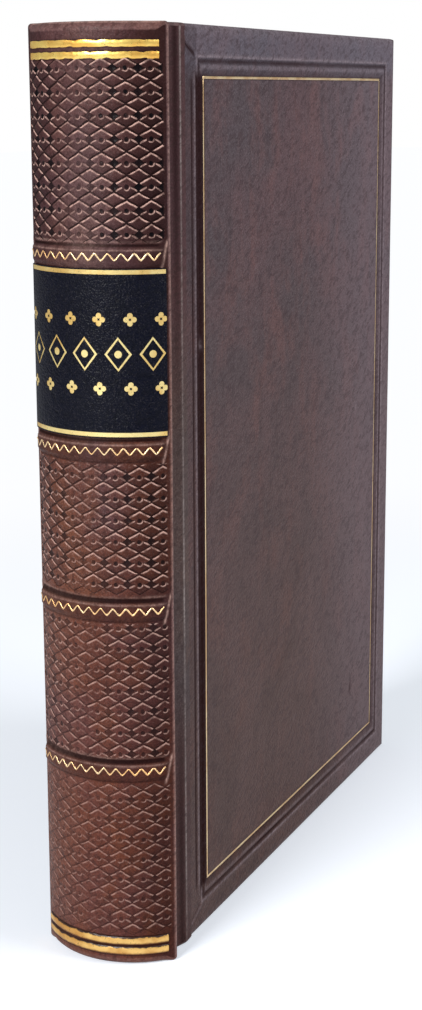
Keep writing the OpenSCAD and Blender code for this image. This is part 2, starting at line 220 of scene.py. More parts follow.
def rgb(red, green, blue):
    """A colour written as it shows on a screen, 0 to 255, turned to linear values."""
    return tuple((c / 255 / 12.92) if c <= 10 else ((c / 255 + 0.055) / 1.055) ** 2.4 for c in (red, green, blue))


paper_tree, n, given, out = new_group(
    "paper fibre", {"Fibre size": 900.0, "Foxing": 0.3, "Pale": None, "Dark": None}, ("Color", "Height"))
where = n.own()
cloud = n.noise(where, 24.0, 5.0, 0.6)
fibre = n.noise(n.stretch(where, (1.0, 1.0, 0.25)), given["Fibre size"], 3.0)
spots = n.band(n.noise(where, 160.0, 4.0, 0.7), 0.66, 0.8)
tone = n.more(cloud, 0.7, n.times(fibre, 0.3))
tone = n.mix(tone, given["Dark"], given["Pale"])
n.fill(out, Color=n.mix(n.times(spots, given["Foxing"]), tone, rgb(176, 140, 96)),
       Height=n.plus(fibre, n.times(cloud, 0.4)))

leaf_edges, n = new_material("leaf edges")
fibre = n.group(paper_tree, Fibre_size=700.0, Foxing=0.35, Pale=rgb(232, 221, 196), Dark=rgb(205, 188, 154))
sheets = n.noise(n.stretch(n.own(), (9000.0, 20.0, 20.0)), 1.0, 2.0)
dust = n.band(n.noise(n.own(), 55.0, 4.0), 0.45, 0.75)
colour = n.mix(n.band(sheets, 0.35, 0.65, 0.0, 0.35), fibre["Color"], rgb(176, 157, 122))
colour = n.mix(n.times(dust, 0.28), colour, rgb(168, 150, 122))
# Painted shade between the gatherings, where their outer sheets stand back
colour = n.mix(n.times(n.mark("gathering_gap_shade"), 0.55), colour, rgb(118, 98, 70))
n.paint(colour, n.band(sheets, 0.3, 0.7, 0.8, 0.95),
        n.bump(n.plus(sheets, n.times(fibre["Height"], 0.3)), 0.5, 0.00006))

draw = np.random.RandomState(11)
leaf = np.linspace(-1.0, 1.0, LEAVES)
gather = np.abs(((np.arange(LEAVES) % GATHERING) / (GATHERING - 1.0)) * 2 - 1) ** 4
trim = draw.uniform(-CUT_UNEVEN, CUT_UNEVEN, LEAVES) - FOLD_BACK * gather
back_x = BACK_R * np.sin(leaf * BACK_TURN)
back_y = SPINE_CENTRE_Y - BACK_R * np.cos(leaf * BACK_TURN)
fore_r = (BLOCK_X ** 2 + FORE_HOLLOW ** 2) / (2 * FORE_HOLLOW)
fore = FORE_Y - FORE_HOLLOW + fore_r - np.sqrt(fore_r ** 2 - (leaf * BLOCK_X) ** 2)


def fan(edge, inward):
    """One end of the leaves, from the rounded back to the fore edge."""
    lines = [(leaf * BLOCK_X + (back_x - leaf * BLOCK_X) * t ** 1.5, SHOULDER_Y + (back_y - SHOULDER_Y) * t, edge)
             for t in np.linspace(1.0, 0.0, 8)]
    lines += [(leaf * BLOCK_X, SHOULDER_Y + (fore + trim - SHOULDER_Y) * t, edge + inward * CUT_SOFT * (t == 1.0))
              for t in (0.02, 0.2, 0.5, 0.8, 0.985, 1.0)]
    return [np.stack(line, -1) for line in lines]


loop = np.stack(fan(SQUARE - trim, 1) + fan(COVER_H - SQUARE + trim, -1)[::-1], 1)
leaves = grid_piece(
    "leaves", loop, leaf_edges, {"gathering_gap_shade": np.repeat(gather[:, None], loop.shape[1], 1)}, ring=True, caps=True)
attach(leaves, "root")
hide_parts("text_block")

# Endpapers: one folded sheet at each side, half of it free on the leaves and half pasted on
# the board over the turned-in leather. The fold lies in the joint.
# Place and height of the fold, and where its bending starts and ends; its sheet is in metres
FOLD_Y = (-4.2, 1.6)
FOLD_X = 10.37
FOLD_STEP = 0.06
FOLD_END = 4.6
SHEET_THICK = 0.00003


def dress(material, slot_name, *nodes):
    """Gives CAD nodes their material."""
    for node in nodes:
        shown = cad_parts[node]
        shown.data.materials.clear()
        shown.data.materials.append(material)


def smooth(low, high, value):
    t = np.clip((value - low) / (high - low), 0.0, 1.0)
    return t * t * (3.0 - 2.0 * t)


endpaper, n = new_material("endpaper")
sheet = n.group(paper_tree, Fibre_size=1400.0, Foxing=0.25, Pale=rgb(233, 224, 201), Dark=rgb(216, 203, 174))
laid = n.ribs(270.0, 0.8)
aged = n.band(n.noise(n.own(), 18.0, 3.0), 0.4, 0.7, 0.0, 0.25)
n.paint(n.mix(aged, n.mix(n.times(laid, 0.12), sheet["Color"], rgb(196, 180, 148)), rgb(205, 186, 150)),
        n.band(sheet["Height"], 0.3, 1.0, 0.93, 0.82),
        n.bump(n.plus(sheet["Height"], n.times(laid, 0.5)), 0.35, 0.00005))
dress(endpaper, "endpaper", "front_flyleaf", "back_flyleaf", "front_pastedown", "back_pastedown")

y, z = np.meshgrid(np.linspace(*FOLD_Y, 25), np.linspace(FOLD_END, COVER_H - FOLD_END, 90))
for side, cover in ((1, "front_cover"), (-1, "back_cover")):
    x = side * (FOLD_X + FOLD_STEP * smooth(-1.0, 0.8, y))
    fold = grid_piece(cover + "_endpaper_fold", np.stack([x, y, z], -1), endpaper)
    thick = fold.modifiers.new("sheet", "SOLIDIFY")
    thick.thickness = SHEET_THICK
    thick.offset = 0.0
    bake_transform(fold)

# Endbands: silk in two colours wound over a cord and sewn down at head and tail of the
# leaves, with a strip of cloth that is glued to their spine.
ROLL_R = 0.9
ROLL_AT = (17.85, 2.06)
# The cloth strip's two faces from the spine's centre, and its edges from the covers' ends
STRIP_R = (18.72, 18.98)
STRIP_Z = (3.2, 9.0)
BAND_TURN = math.radians(44.5)
WRAPS = 84
THREAD_UP = 0.10


def on_spine(radius, turn, level):
    """Points round the spine's centre, by their distance from it, angle and height."""
    return np.stack(np.broadcast_arrays(radius * np.sin(turn), SPINE_CENTRE_Y - radius * np.cos(turn), level), -1)


silk, n = new_material("endband silk")
thread = n.noise(n.stretch(n.own(), (1.0, 1.0, 0.3)), 5200.0, 2.0)
wear_and_highlight = n.band(n.noise(n.own(), 300.0, 3.0), 0.4, 0.8, 0.0, 0.35)
n.paint(n.mix(wear_and_highlight, n.mix(n.mark("second_thread"), rgb(128, 48, 42), rgb(206, 178, 128)), rgb(88, 62, 48)),
        n.band(thread, 0.3, 0.7, 0.38, 0.62), n.bump(thread, 0.4, 0.00004), Sheen_Weight=0.35)
turns = np.linspace(-BAND_TURN, BAND_TURN, WRAPS * 6 + 1)
wrap = (turns + BAND_TURN) / (2 * BAND_TURN) * WRAPS
swell = ROLL_R + THREAD_UP * np.abs(np.sin(math.pi * wrap))
around = [(ROLL_AT[0] - swell * math.cos(a), ROLL_AT[1] - swell * math.sin(a))
          for a in np.radians(np.arange(-60, 250, 18.0))]
around += [(STRIP_R[0], STRIP_Z[0]), (STRIP_R[1], STRIP_Z[0]), (STRIP_R[1], STRIP_Z[1]), (STRIP_R[0], STRIP_Z[1])]
colour = np.repeat((np.floor(wrap / 4) % 2 == 0)[:, None], len(around), 1)
for name, head in (("tail_endband", False), ("head_endband", True)):
    points = np.stack([on_spine(radius, turns, COVER_H - level if head else level) for radius, level in around], 1)
    band = grid_piece(name + "_silk", points[:, ::-1] if head else points, silk, {"second_thread": colour},
                      ring=True, caps=True)
    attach(band, "root")
    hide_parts(name)

# Back of the leaves: linen tapes that the gatherings are sewn on, open cloth glued over them,
# and a flattened tube of brown paper over the cloth that lets the spine spring open.
linen, n = new_material("linen and cloth")
weave = n.ribs(500.0)
fluff = n.noise(n.own(), 2500.0, 3.0)
n.paint(n.mix(n.times(weave, 0.5), n.mix(fluff, rgb(196, 184, 156), rgb(224, 215, 190)), rgb(170, 156, 126)),
        n.band(fluff, 0.3, 0.7, 0.8, 0.95), n.bump(n.plus(weave, fluff), 0.5, 0.0001))
dress(linen, "tape", "sewing_tape_1", "sewing_tape_2", "sewing_tape_3", "sewing_tape_4")
dress(linen, "lining_cloth", "spine_lining")


def clean_paper(name, fibre_size, pale, dark, dull, sleek):
    """Paper or card with hardly a stain; dull and sleek are the ends of its roughness."""
    made, n = new_material(name)
    sheet = n.group(paper_tree, Fibre_size=fibre_size, Foxing=0.1, Pale=pale, Dark=dark)
    n.paint(sheet["Color"], n.band(sheet["Height"], 0.3, 1.0, dull, sleek), n.bump(sheet["Height"], 0.3, 0.00005))
    return made


dress(clean_paper("kraft paper", 1100.0, rgb(186, 152, 108), rgb(150, 118, 80), 0.9, 0.75), "hollow_paper",
      "spine_hollow")


# Strips under the raised bands: undyed leather, cut as wide as a band and glued across the
# back, so that the covering skin can be moulded over them.
def felted(name, scale, rough, dark, pale, low, high):
    """Short matted fibres in two tones; low and high are the ends of its roughness."""
    made, n = new_material(name)
    flock = n.noise(n.own(), scale, 5.0, rough)
    n.paint(n.mix(flock, dark, pale), n.band(flock, 0.3, 0.7, low, high), n.bump(flock, 0.4, 0.0001))
    return made


dress(felted("undyed leather strips", 900.0, 0.6, rgb(150, 108, 74), rgb(186, 146, 106), 0.7, 0.85), "band_strip",
      "raised_band_1", "raised_band_2", "raised_band_3", "raised_band_4")

# Boards: grey millboard, the panel of its outer face sunk in by pressing. A thin pale card is
# pasted inside each one, level with the turned-in leather round it.
dress(felted("millboard", 650.0, 0.65, rgb(118, 112, 102), rgb(152, 146, 134), 0.85, 0.95), "board",
      "front_board", "back_board")
dress(clean_paper("infill card", 1000.0, rgb(214, 210, 198), rgb(190, 184, 170), 0.92, 0.8), "infill_card",
      "front_infill", "back_infill")

# Covering leather: one skin of dark brown goatskin with a satin polish. Its grain, its mottled
# dye and the marks of heated tools are shared by every part of the skin.
GRAIN_SLANT = 1.18
GRAIN_SWIRL = 0.0009
grain_tree, n, given, out = new_group(
    "goatskin grain", {"Pebble size": 1500.0}, ("Height", "Pebble", "Crease"))
where = n.own()
swirl = n.fill(n.add("TexNoise"), Vector=where, Scale=260.0)["Color"]
warp = n.add("VectorMath", operation="MULTIPLY_ADD")
for socket, value in zip(warp.inputs, (swirl, (GRAIN_SWIRL,) * 3, where)):
    n.feed(socket, value)
pebble = n.fill(n.add("TexVoronoi"), Vector=warp.outputs[0], Scale=given["Pebble size"])["Distance"]
slanted = n.stretch(n.stretch(warp.outputs[0], turn=(GRAIN_SLANT, 0.0, 0.0)), (1.0, 1.0, 0.45))
creases = n.band(n.noise(slanted, 900.0, 3.0, 0.65), 0.3, 0.7)
pores = n.noise(where, 4200.0, 2.0)
n.fill(out, Pebble=pebble, Crease=n.band(creases, 0.1, 0.5, 0.42, 0.0),
       Height=n.plus(n.times(pebble, -0.8), n.plus(n.times(creases, 0.5), n.times(pores, 0.25))))

mottle_tree, n, given, out = new_group(
    "leather mottle", {"Base": None, "Cool": None, "Warm": None, "Deep": None, "Amount": 1.0}, ("Color", "Cloud"))
where, amount, deep = n.own(), given["Amount"], given["Deep"]
cloud = n.noise(where, 26.0, 5.0, 0.6, 0.6)
drift = n.noise(n.stretch(where, (1.0, 1.0, 0.55)), 75.0, 5.0, 0.65, 0.4)
streak = n.noise(n.stretch(where, (1.0, 3.0, 0.35)), 120.0, 4.0, 0.6, 1.2)
fleck = n.noise(where, 1500.0, 3.0, 0.65)
speck = n.noise(where, 3400.0, 1.0)
tone = n.mix(n.times(n.band(cloud, 0.38, 0.62), amount), given["Base"], given["Cool"])
tone = n.mix(n.times(n.band(drift, 0.45, 0.68, 0.0, 0.75), amount), tone, given["Warm"])
tone = n.mix(n.band(streak, 0.5, 0.75, 0.0, 0.3), tone, deep)
tone = n.mix(n.band(fleck, 0.52, 0.72, 0.0, 0.45), tone, deep)
n.fill(out, Color=n.mix(n.times(n.band(speck, 0.55, 0.75, 0.0, 0.16), amount), tone, (0.5, 0.42, 0.4)), Cloud=cloud)

# Blind tooling as it shows close up: rows of chevrons with a ring, flat lozenges between the
# rows, and a small lozenge struck between two rings. Across and Up count cells from a ring;
# Low and High bound the whole rows; Struck is the tool's force, Soft where the skin is polished.
CELL_W = 5.2
CELL_H = 4.85
# Height of a chevron's line over the ring's row, in cells, at a ring and between two rings
PEAK = 0.485
FOOT = 0.185
# Cosine of the line's slope, 29 degrees
SLOPE_COS = 0.87
# Half the struck lozenge's width and height, in cells
LOZENGE = (0.2, 0.19)
TOOL_MARKS = ("Across", "Up", "Low", "High", "Struck", "Soft", "Left")
tool_tree, n, given, out = new_group(
    "blind tooling", dict.fromkeys(TOOL_MARKS, 0.0), ("Dark", "Lit", "Height", "Black"))
plus, minus, times, most, more, band = n.plus, n.minus, n.times, n.most, n.more, n.band
own, soft, left = n.own(), given["Soft"], given["Left"]


def size_of(value):
    return n.math("ABSOLUTE", value)


def past(a, b):
    return n.math("GREATER_THAN", a, b)


across = more(minus(n.noise(own, 420.0, 2.0), 0.5), 0.08, given["Across"])
upward = more(minus(n.noise(n.stretch(own, (1.3, 1.3, 1.3)), 390.0, 2.0), 0.5), 0.08, given["Up"])
beside = minus(across, n.math("FLOOR", plus(across, 0.5)))
row = n.math("FLOOR", plus(upward, 0.5))
above = minus(upward, row)
aside, aloft, over = size_of(beside), size_of(above), n.math("SIGN", above)
# Distance from the chevron's line, positive outside the ringed cell, and the cell's own row
beyond = minus(aloft, more(aside, -2 * (PEAK - FOOT), PEAK))
middle = more(times(over, past(beyond, 0.0)), 0.5, row)
force = times(given["Struck"], times(past(middle, minus(given["Low"], 0.25)),
                                     n.math("LESS_THAN", middle, plus(given["High"], 0.25))))
falls = past(times(beside, above), 0.0)
slack = minus(1.0, times(times(soft, falls), 0.6))
# Each line is dark: the hot tool's mark, with painted shade in its groove
groove = times(band(size_of(beyond), 0.018, 0.052, 1.0, 0.0), slack)
# A painted highlight on the leather just under each line
under = times(beyond, times(over, -1.0))
crest = times(band(under, 0.035, 0.06), band(under, 0.085, 0.15, 1.0, 0.0))
crest = times(times(crest, slack), minus(1.0, times(left, minus(1.0, falls))))
# Painted highlights in short strokes from the ring towards the struck lozenges
wing = size_of(plus(above, more(aside, 0.58, -0.085)))
wing = times(band(wing, 0.03, 0.05, 1.0, 0.0), times(band(aside, 0.17, 0.2), band(aside, 0.42, 0.47, 1.0, 0.0)))
# The struck lozenge, black when struck hard, with sharp corners towards the rings
span = plus(times(minus(0.5, aside), 1 / LOZENGE[0]), times(aloft, 1 / LOZENGE[1]))
spike = plus(times(minus(0.5, aside), 1 / 0.36), times(aloft, 1 / 0.07))
hit = times(band(n.noise(own, 150.0, 2.0), 0.3, 0.6, 0.75, 1.0), minus(1.0, times(soft, 0.85)))
punch = times(most(band(span, 0.85, 1.1, 1.0, 0.0), times(band(spike, 0.8, 1.1, 1.0, 0.0), 0.7)), hit)
# The ring with its pricked middle, with a painted highlight at the lower right
ring_x, ring_z = times(beside, CELL_W), times(above, CELL_H)
away = n.math("SQRT", plus(times(ring_x, ring_x), times(ring_z, ring_z)))
hard = minus(1.0, times(soft, 0.5))
prick = times(times(band(away, 0.3, 0.55, 1.0, 0.0), band(n.noise(own, 230.0, 1.0), 0.3, 0.55, 0.5, 1.0)), hard)
bow = times(times(band(away, 0.5, 0.62), band(away, 0.74, 0.9, 1.0, 0.0)),
            band(minus(ring_z, times(ring_x, 0.45)), -0.1, -0.5))
lit = most(most(crest, times(wing, hit)), times(bow, hard))
lit = times(times(lit, band(span, 0.95, 1.1)), band(n.noise(own, 620.0, 3.0, 0.7), 0.36, 0.58, 0.25, 1.0))
# Each cell gets painted shade in its lower part, as if it fell away below a fuller top
shade = times(band(minus(middle, upward), -0.12, 0.3), minus(1.0, times(soft, 0.7)))
depth = most(times(groove, 0.55), most(punch, times(prick, 0.8)))
n.fill(out, Black=times(most(punch, prick), force, clamp=True), Lit=times(lit, force, clamp=True),
       Dark=times(most(groove, times(shade, 0.4)), force, clamp=True),
       Height=times(minus(times(lit, 0.3), depth), force))


def goatskin(name, base, cool, warm, deep, dark, rub_and_highlight, rough, pebbles, grain_depth, tooling=False, mottled=1.0,
             tints=()):
    """Covering leather in one part's colours: dark in the tool marks and painted shade, paler where it is rubbed and
    where highlights are painted.

    Each tint is an axis, where the change starts and ends on it, its greatest share and its colour.
    """
    made, n = new_material(name)
    skin = n.group(mottle_tree, Base=base, Cool=cool, Warm=warm, Deep=deep, Amount=mottled)
    grain = n.group(grain_tree, Pebble_size=pebbles)
    tooled = n.mark("tooled")
    colour = skin["Color"]
    for axis, start, end, share, tint in tints:
        place = n.add("SeparateXYZ")
        n.feed(place.inputs[0], n.own())
        colour = n.mix(n.band(place.outputs[axis], start, end, 0.0, share), colour, tint)
    # Tool marks and painted shade darken the skin; rubbing and painted highlights lighten it
    colour = n.mix(n.times(tooled, 0.95), colour, dark)
    patchy = n.times(n.mark("rubbed_and_highlight"), n.band(n.noise(n.own(), 700.0, 3.0), 0.3, 0.6, 0.5, 1.0))
    colour = n.mix(patchy, colour, rub_and_highlight)
    colour = n.mix(n.band(grain["Pebble"], 0.25, 0.6, 0.0, 0.4), colour, n.mix(0.6, colour, dark))
    colour = n.mix(grain["Crease"], colour, deep)
    under = None
    if tooling:
        shown = n.group(tool_tree, **{label: n.mark(label.lower()) for label in TOOL_MARKS})
        # The tooling's painted highlights, its dark lines with their painted shade, and its black punches
        colour = n.mix(n.times(shown["Lit"], 0.72), colour, rub_and_highlight)
        colour = n.mix(n.times(shown["Dark"], 0.88), colour, dark)
        colour = n.mix(shown["Black"], colour, (0.002, 0.001, 0.002))
        under = n.bump(shown["Height"], 0.9, 0.00035)
    sheen = n.band(skin["Cloud"], 0.35, 0.65, rough - 0.05, rough + 0.07)
    n.paint(colour, n.plus(sheen, n.times(tooled, 0.15), clamp=True),
            n.bump(grain["Height"], grain_depth, 0.00022, under), Specular_IOR_Level=n.more(tooled, -0.1, 0.13))
    return made


# Spine: the skin is moulded over the bands and tooled blind with a diaper of lozenges, each
# other row ringed, then drawn over the head and tail in rounded caps and turned in.
SPINE_R = 20.853
SPINE_TURN = math.radians(50.55)
RIDGE_R = 1.2
RIDGE_TURN = math.radians(70.0)
# Raised bands: heights of their middles, and how far they lift the skin
BANDS = (47.3, 84.5, 120.3, 161.9)
BAND_UP = 0.715
# Gilt rules at head and tail: heights of their middles, and width
RULES = ((205.5, 1.55), (203.15, 1.5), (3.65, 2.05), (6.1, 2.05))
RULE_TURN = math.radians(46.55)
PRESS = 0.12
LABEL_Z = (123.2, 159.4)
LABEL_SUNK = 0.06
# Each tooled panel: middle of a ringed row, a ringed column, lowest and highest row, force
PANELS = (
    (26.0, 1.0, -3.5, 3.5, 0.46), (66.0, 1.2, -3.0, 3.0, 0.64),
    (105.0, 1.1, -3.0, 2.5, 0.82), (181.1, -0.73, -3.0, 4.0, 1.0))
# Half the tooling's width along the curve, and the depths pressed at full force
TOOL_S = 17.85
LINE_DEEP = 0.12
BED_DEEP = 0.07
LOZENGE_DEEP = 0.26
# Points of the mesh on a cell, steps between them on a band, the least distance of two rows
CELL_STEPS = 16
BAND_STEP = 0.27
ROW_GAP = 0.055
# Rounded ends: their depth, how far the cap reaches over the leaves, the roundness of its lip,
# and the share of all this that is left at the joints
CAP = 2.0
CAP_REACH = 2.95
CAP_LIP = 0.45
JOINT_SHARE = 0.42
ridge_x = (SPINE_R - RIDGE_R) * math.sin(SPINE_TURN)
ridge_y = SPINE_CENTRE_Y - (SPINE_R - RIDGE_R) * math.cos(SPINE_TURN)

# The spine's last tint greys the ridge and beyond, as part of its painted highlight
calf_spine = goatskin(
    "spine goatskin", rgb(98, 54, 40), rgb(84, 55, 59), rgb(110, 64, 43), rgb(42, 20, 18), rgb(22, 8, 9),
    rgb(222, 180, 166), 0.4, 2100.0, 0.45, tooling=True,
    tints=(("Z", 0.12, 0.18, 0.62, rgb(84, 55, 59)), ("Z", 0.12, 0.04, 0.5, rgb(106, 50, 28)),
           ("Y", -0.0742, -0.0735, 0.22, rgb(100, 86, 90))))


def ripple(u, v, seed, octaves=3):
    """A soft, repeatable unevenness over two coordinates, about -1 to 1."""
    draw = np.random.RandomState(seed)
    total = np.zeros(np.broadcast(u, v).shape)
    for octave in range(octaves):
        for _ in range(4):
            angle, phase = draw.uniform(0, 2 * math.pi, 2)
            pitch = draw.uniform(0.7, 1.4) * 2.0 ** octave
            total += np.sin((u * math.cos(angle) + v * math.sin(angle)) * pitch + phase) / (2.0 ** octave * 4)
    return total


def bell(value, at, width, power=2):
    """1 at a place, falling off softly on both sides of it."""
    return np.exp(-((value - at) / width) ** power)


def spine_rows():
    """Heights of the skin's rows, close together where there is tooling."""
    found = [(CAP, CAP + 0.2), np.arange(206.5, COVER_H - CAP, 0.3), np.arange(LABEL_Z[0] + 0.3, LABEL_Z[1], 1.5)]
    for z, width in RULES:
        found.append(z + np.array([-width / 2 - 0.03, -width / 2 + 0.03, 0, width / 2 - 0.03, width / 2 + 0.03]))
    for mid, _, low, high, _ in PANELS:
        first, last = math.floor((low - 0.8) * CELL_STEPS), math.ceil((high + 0.8) * CELL_STEPS)
        found.append(mid + CELL_H / CELL_STEPS * np.arange(first, last + 1))
    for z in BANDS:
        found.append(z + np.arange(-3.2, 3.25, BAND_STEP))
    rows = np.sort(np.concatenate(found))
    keep = [rows[0]]
    for z in rows[1:]:
        if z - keep[-1] > ROW_GAP:
            keep.append(z)
    keep = np.array(keep)
    keep[-1] = COVER_H - CAP
    return keep[(keep >= CAP) & (keep <= COVER_H - CAP)]


def diaper(s, z):
    """The blind tooling at s along the curve and height z: its depth and where in a cell the point is."""
    depth = np.zeros(s.shape)
    marks = {label.lower(): np.zeros(s.shape) for label in TOOL_MARKS}
    for number, (mid, column, low_row, high_row, force) in enumerate(PANELS):
        here = np.abs(z - mid - (low_row + high_row) / 2 * CELL_H) < ((high_row - low_row) / 2 + 1.1) * CELL_H
        # The hand wanders a little from the laid-out cells
        u = (s - column + 0.22 * ripple(s / 9.0, z / 9.0, 30 + number)) / CELL_W
        v = (z - mid + 0.20 * ripple(s / 11.0, z / 8.0, 50 + number)) / CELL_H
        side_of, row = u - np.round(u), np.round(v)
        above = v - row
        beyond = (np.abs(above) - PEAK + 2 * (PEAK - FOOT) * np.abs(side_of)) * CELL_H * SLOPE_COS
        middle = row + 0.5 * np.sign(above) * (beyond > 0)
        whole = (middle > low_row - 0.25) & (middle < high_row + 0.25)
        soft = np.clip(bell(s, -1.5, 5.0) * (0.8 + 0.5 * ripple(s / 5.0, z / 5.0, 70 + number)), 0, 1)
        soft = np.clip(soft + 0.25 * (number == 0) * smooth(2.0, -12.0, s), 0, 1)
        lines = (1 - smooth(0.0, 0.5, np.abs(beyond))) * (1 - 0.5 * soft * (side_of * above > 0))
        bed = 1 - smooth(0.15, 0.8, np.abs(beyond))
        span = (0.5 - np.abs(side_of)) / LOZENGE[0] + np.abs(above) / LOZENGE[1]
        lozenge = (1 - smooth(0.6, 1.15, span)) * (1 - 0.8 * soft)
        side = 1 - smooth(TOOL_S - 0.35, TOOL_S, np.abs(s))
        depth += here * whole * side * force * np.maximum(LINE_DEEP * lines + BED_DEEP * bed, LOZENGE_DEEP * lozenge)
        values = (u, v, low_row, high_row, force * side, soft, smooth(-1.0, -9.0, s))
        for label, value in zip(marks, values):
            marks[label] = np.where(here, value, marks[label])
    return depth, marks


def skin_wave(s, z):
    return 0.035 * ripple(s / 6.0, z / 9.0, 5)


def skin_radius(a, z):
    """Radius of the spine's leather at angle a and height z, with its tooled and rubbed marks."""
    s = a * SPINE_R
    depth, marks = diaper(s, z)
    radius = SPINE_R - depth + skin_wave(s, z)
    # Painted sheen down the middle, most towards the head, and paler at the lower left; painted shade towards both
    # joints, and darker towards the head
    rub_and_highlight = (0.02 + 0.13 * smooth(120.0, 185.0, z)) * bell(s, -0.5, 6.0) * (0.8 + 0.5 * ripple(s / 7.0, z / 16.0, 140))
    rub_and_highlight += 0.07 * smooth(130.0, 60.0, z) * smooth(2.0, -12.0, s)
    dark = 0.6 * smooth(4.0, 17.0, s) + 0.36 * smooth(80.0, 180.0, z) * smooth(-5.0, -17.0, s)
    dark += 0.22 * smooth(150.0, 170.0, z)
    reach = 1 - smooth(16.2, 18.0, np.abs(s))
    for number, level in enumerate(BANDS):
        over = z - 0.10 * ripple(s / 7.0, z * 0, 110 + number) - level
        away = np.abs(over)
        swell = reach * (1 - smooth(1.25, 2.6, away))
        radius += BAND_UP * swell
        dark = np.maximum(dark, 0.42 * swell)
        # Painted shadow over and under the band, painted highlights beside that and at the ends
        for share, at, width, power in (
                (1.0, 2.35, 0.7 if number < 2 else 0.42, 4), (0.75, -2.5, 0.3, 2), (0.35, -1.9, 0.5, 2)):
            dark = np.maximum(dark, reach * share * bell(over, at, width, power))
        uneven = 0.6 + 0.4 * ripple(s / 5.0, z * 0, 130 + number)
        end = bell(np.abs(s) - 0.25 * (z - level), 17.6, 0.26) * (1 - smooth(2.6, 4.0, away))
        rub_and_highlight = np.maximum.reduce(
            [rub_and_highlight, reach * 0.42 * bell(over, 3.05, 0.22) * uneven, reach * 0.30 * bell(over, 1.4, 0.2), 0.6 * end])
        radius += 0.08 * end
        marks["struck"] *= np.abs(z - level) >= 3.0
    for level, width in RULES:
        pressed = (np.abs(z - level) < width / 2) & (np.abs(a) < RULE_TURN + 0.004)
        radius = np.where(pressed, np.minimum(radius, SPINE_R - PRESS), radius)
        # Painted shade along both edges of each pressed rule
        beside = bell(np.abs(z - level), width / 2 + 0.1, 0.14)
        dark = np.maximum(dark, 0.95 * beside * (np.abs(a) < RULE_TURN))
    across = np.abs(a) < SPINE_TURN - 0.02
    under_label = (z > LABEL_Z[0]) & (z < LABEL_Z[1]) & across
    radius = np.where(under_label, SPINE_R - LABEL_SUNK, radius)
    dark = np.where(under_label, 0, dark)
    # Painted shade along the label's edges
    for level in LABEL_Z:
        dark = np.maximum(dark, 0.7 * bell(z, level, 0.35) * across)
    return radius, {"tooled": dark, "rubbed_and_highlight": rub_and_highlight, **marks}


# The skin's section: stations along the curve, then round the ridge into the joint
step = CELL_W / CELL_STEPS
along = np.arange(-math.floor(TOOL_S / step) * step - step, TOOL_S + 1.5 * step, step)
along = np.concatenate([[-SPINE_R * SPINE_TURN, -18.2], along[np.abs(along) < 18.1], [18.2, SPINE_R * SPINE_TURN]])
bend = np.linspace(SPINE_TURN - math.pi / 2, RIDGE_TURN, 17)[1:]
body_rows = spine_rows()
# Cap rows from the skin's last body row over the end: distance inward, distance from the end
cap_path = [(CAP * (1 - math.cos(t)), CAP * (1 - math.sin(t))) for t in np.radians(np.linspace(10, 90, 9))]
cap_path += [(2.5, 0.0), (CAP_REACH, 0.0)]
cap_path += [(CAP_REACH + CAP_LIP * math.sin(t), CAP_LIP - CAP_LIP * math.cos(t))
             for t in np.radians(range(30, 181, 30))]
cap_path += [(2.2, 0.92), (1.5, 1.15), (1.02, 1.7), (0.95, 3.0), (0.95, 6.0)]
# Share of the cap's depth that each station of the section has: all on the curve, less at the joint
share = 1.0 - (1.0 - JOINT_SHARE) * smooth(15.8, 18.6, np.abs(along))
share = np.concatenate([np.full(len(bend), JOINT_SHARE), share, np.full(len(bend), JOINT_SHARE)])


def spine_section(z):
    """Points round the section at each body height, with the inward direction and the marks at each."""
    a, level = np.meshgrid(along / SPINE_R, z)
    radius, marks = skin_radius(a, level)
    x, y, _ = np.moveaxis(on_spine(radius, a, level), -1, 0)
    inward = np.stack([-np.sin(a), np.cos(a)], -1)
    for side in (-1, 1):
        def beside(curve, ridge):
            return np.concatenate([curve, ridge][::side], axis=1)
        t = bend[::side][None, :]
        round_r = RIDGE_R + 0.05 * ripple(level[:, :1] / 14.0, level[:, :1] * 0, 210 + side)
        into = np.broadcast_to(np.stack([-side * np.cos(t), -np.sin(t)], -1), (len(z), len(bend), 2))
        x = beside(x, side * (ridge_x + round_r * np.cos(t)))
        y = beside(y, ridge_y + round_r * np.sin(t))
        inward = beside(inward, into)
        # A painted highlight along the ridge
        painted_highlight = 0.32 * bell(t, -0.15, 0.24)
        marks = {label: beside(value, painted_highlight * (label == "rubbed_and_highlight") + 0 * round_r) for label, value in marks.items()}
    return x, y, inward, marks


def with_caps(x, y, inward, z, share, marks):
    """Adds the rounded, turned-in ends at tail and head to a section's rows."""
    def cap(base, end, way):
        return [np.stack([x[base] + inward[base, :, 0] * e * share, y[base] + inward[base, :, 1] * e * share,
                          end + way * d * share], -1) for e, d in cap_path]
    # The last rows of the body follow the end's rounding where it is smaller
    level = z[:, None] * np.ones(x.shape)
    less = CAP - CAP * share
    level = level - less * (1 - smooth(CAP, 2 * CAP, level)) + less * smooth(COVER_H - 2 * CAP, COVER_H - CAP, level)
    blank = np.zeros((len(cap_path), x.shape[1]))
    # A painted highlight on the top of each cap, a little over the rest of it
    soft = blank + np.array([0.4 if d < 0.4 and 0.8 < e < 2.4 else 0.1 for e, d in cap_path])[:, None]
    capped = {label: np.concatenate([blank, value, blank]) for label, value in marks.items()}
    capped["rubbed_and_highlight"] = np.concatenate([soft[::-1], marks["rubbed_and_highlight"], soft])
    return np.array(cap(0, 0.0, 1)[::-1] + list(np.stack([x, y, level], -1)) + cap(-1, COVER_H, -1)), capped


x, y, inward, marks = spine_section(body_rows)
points, marks = with_caps(x, y, inward, body_rows, share, marks)
spine_skin = grid_piece("spine_covering", points, calf_spine, marks)
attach(spine_skin, "root")
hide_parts("spine_leather")

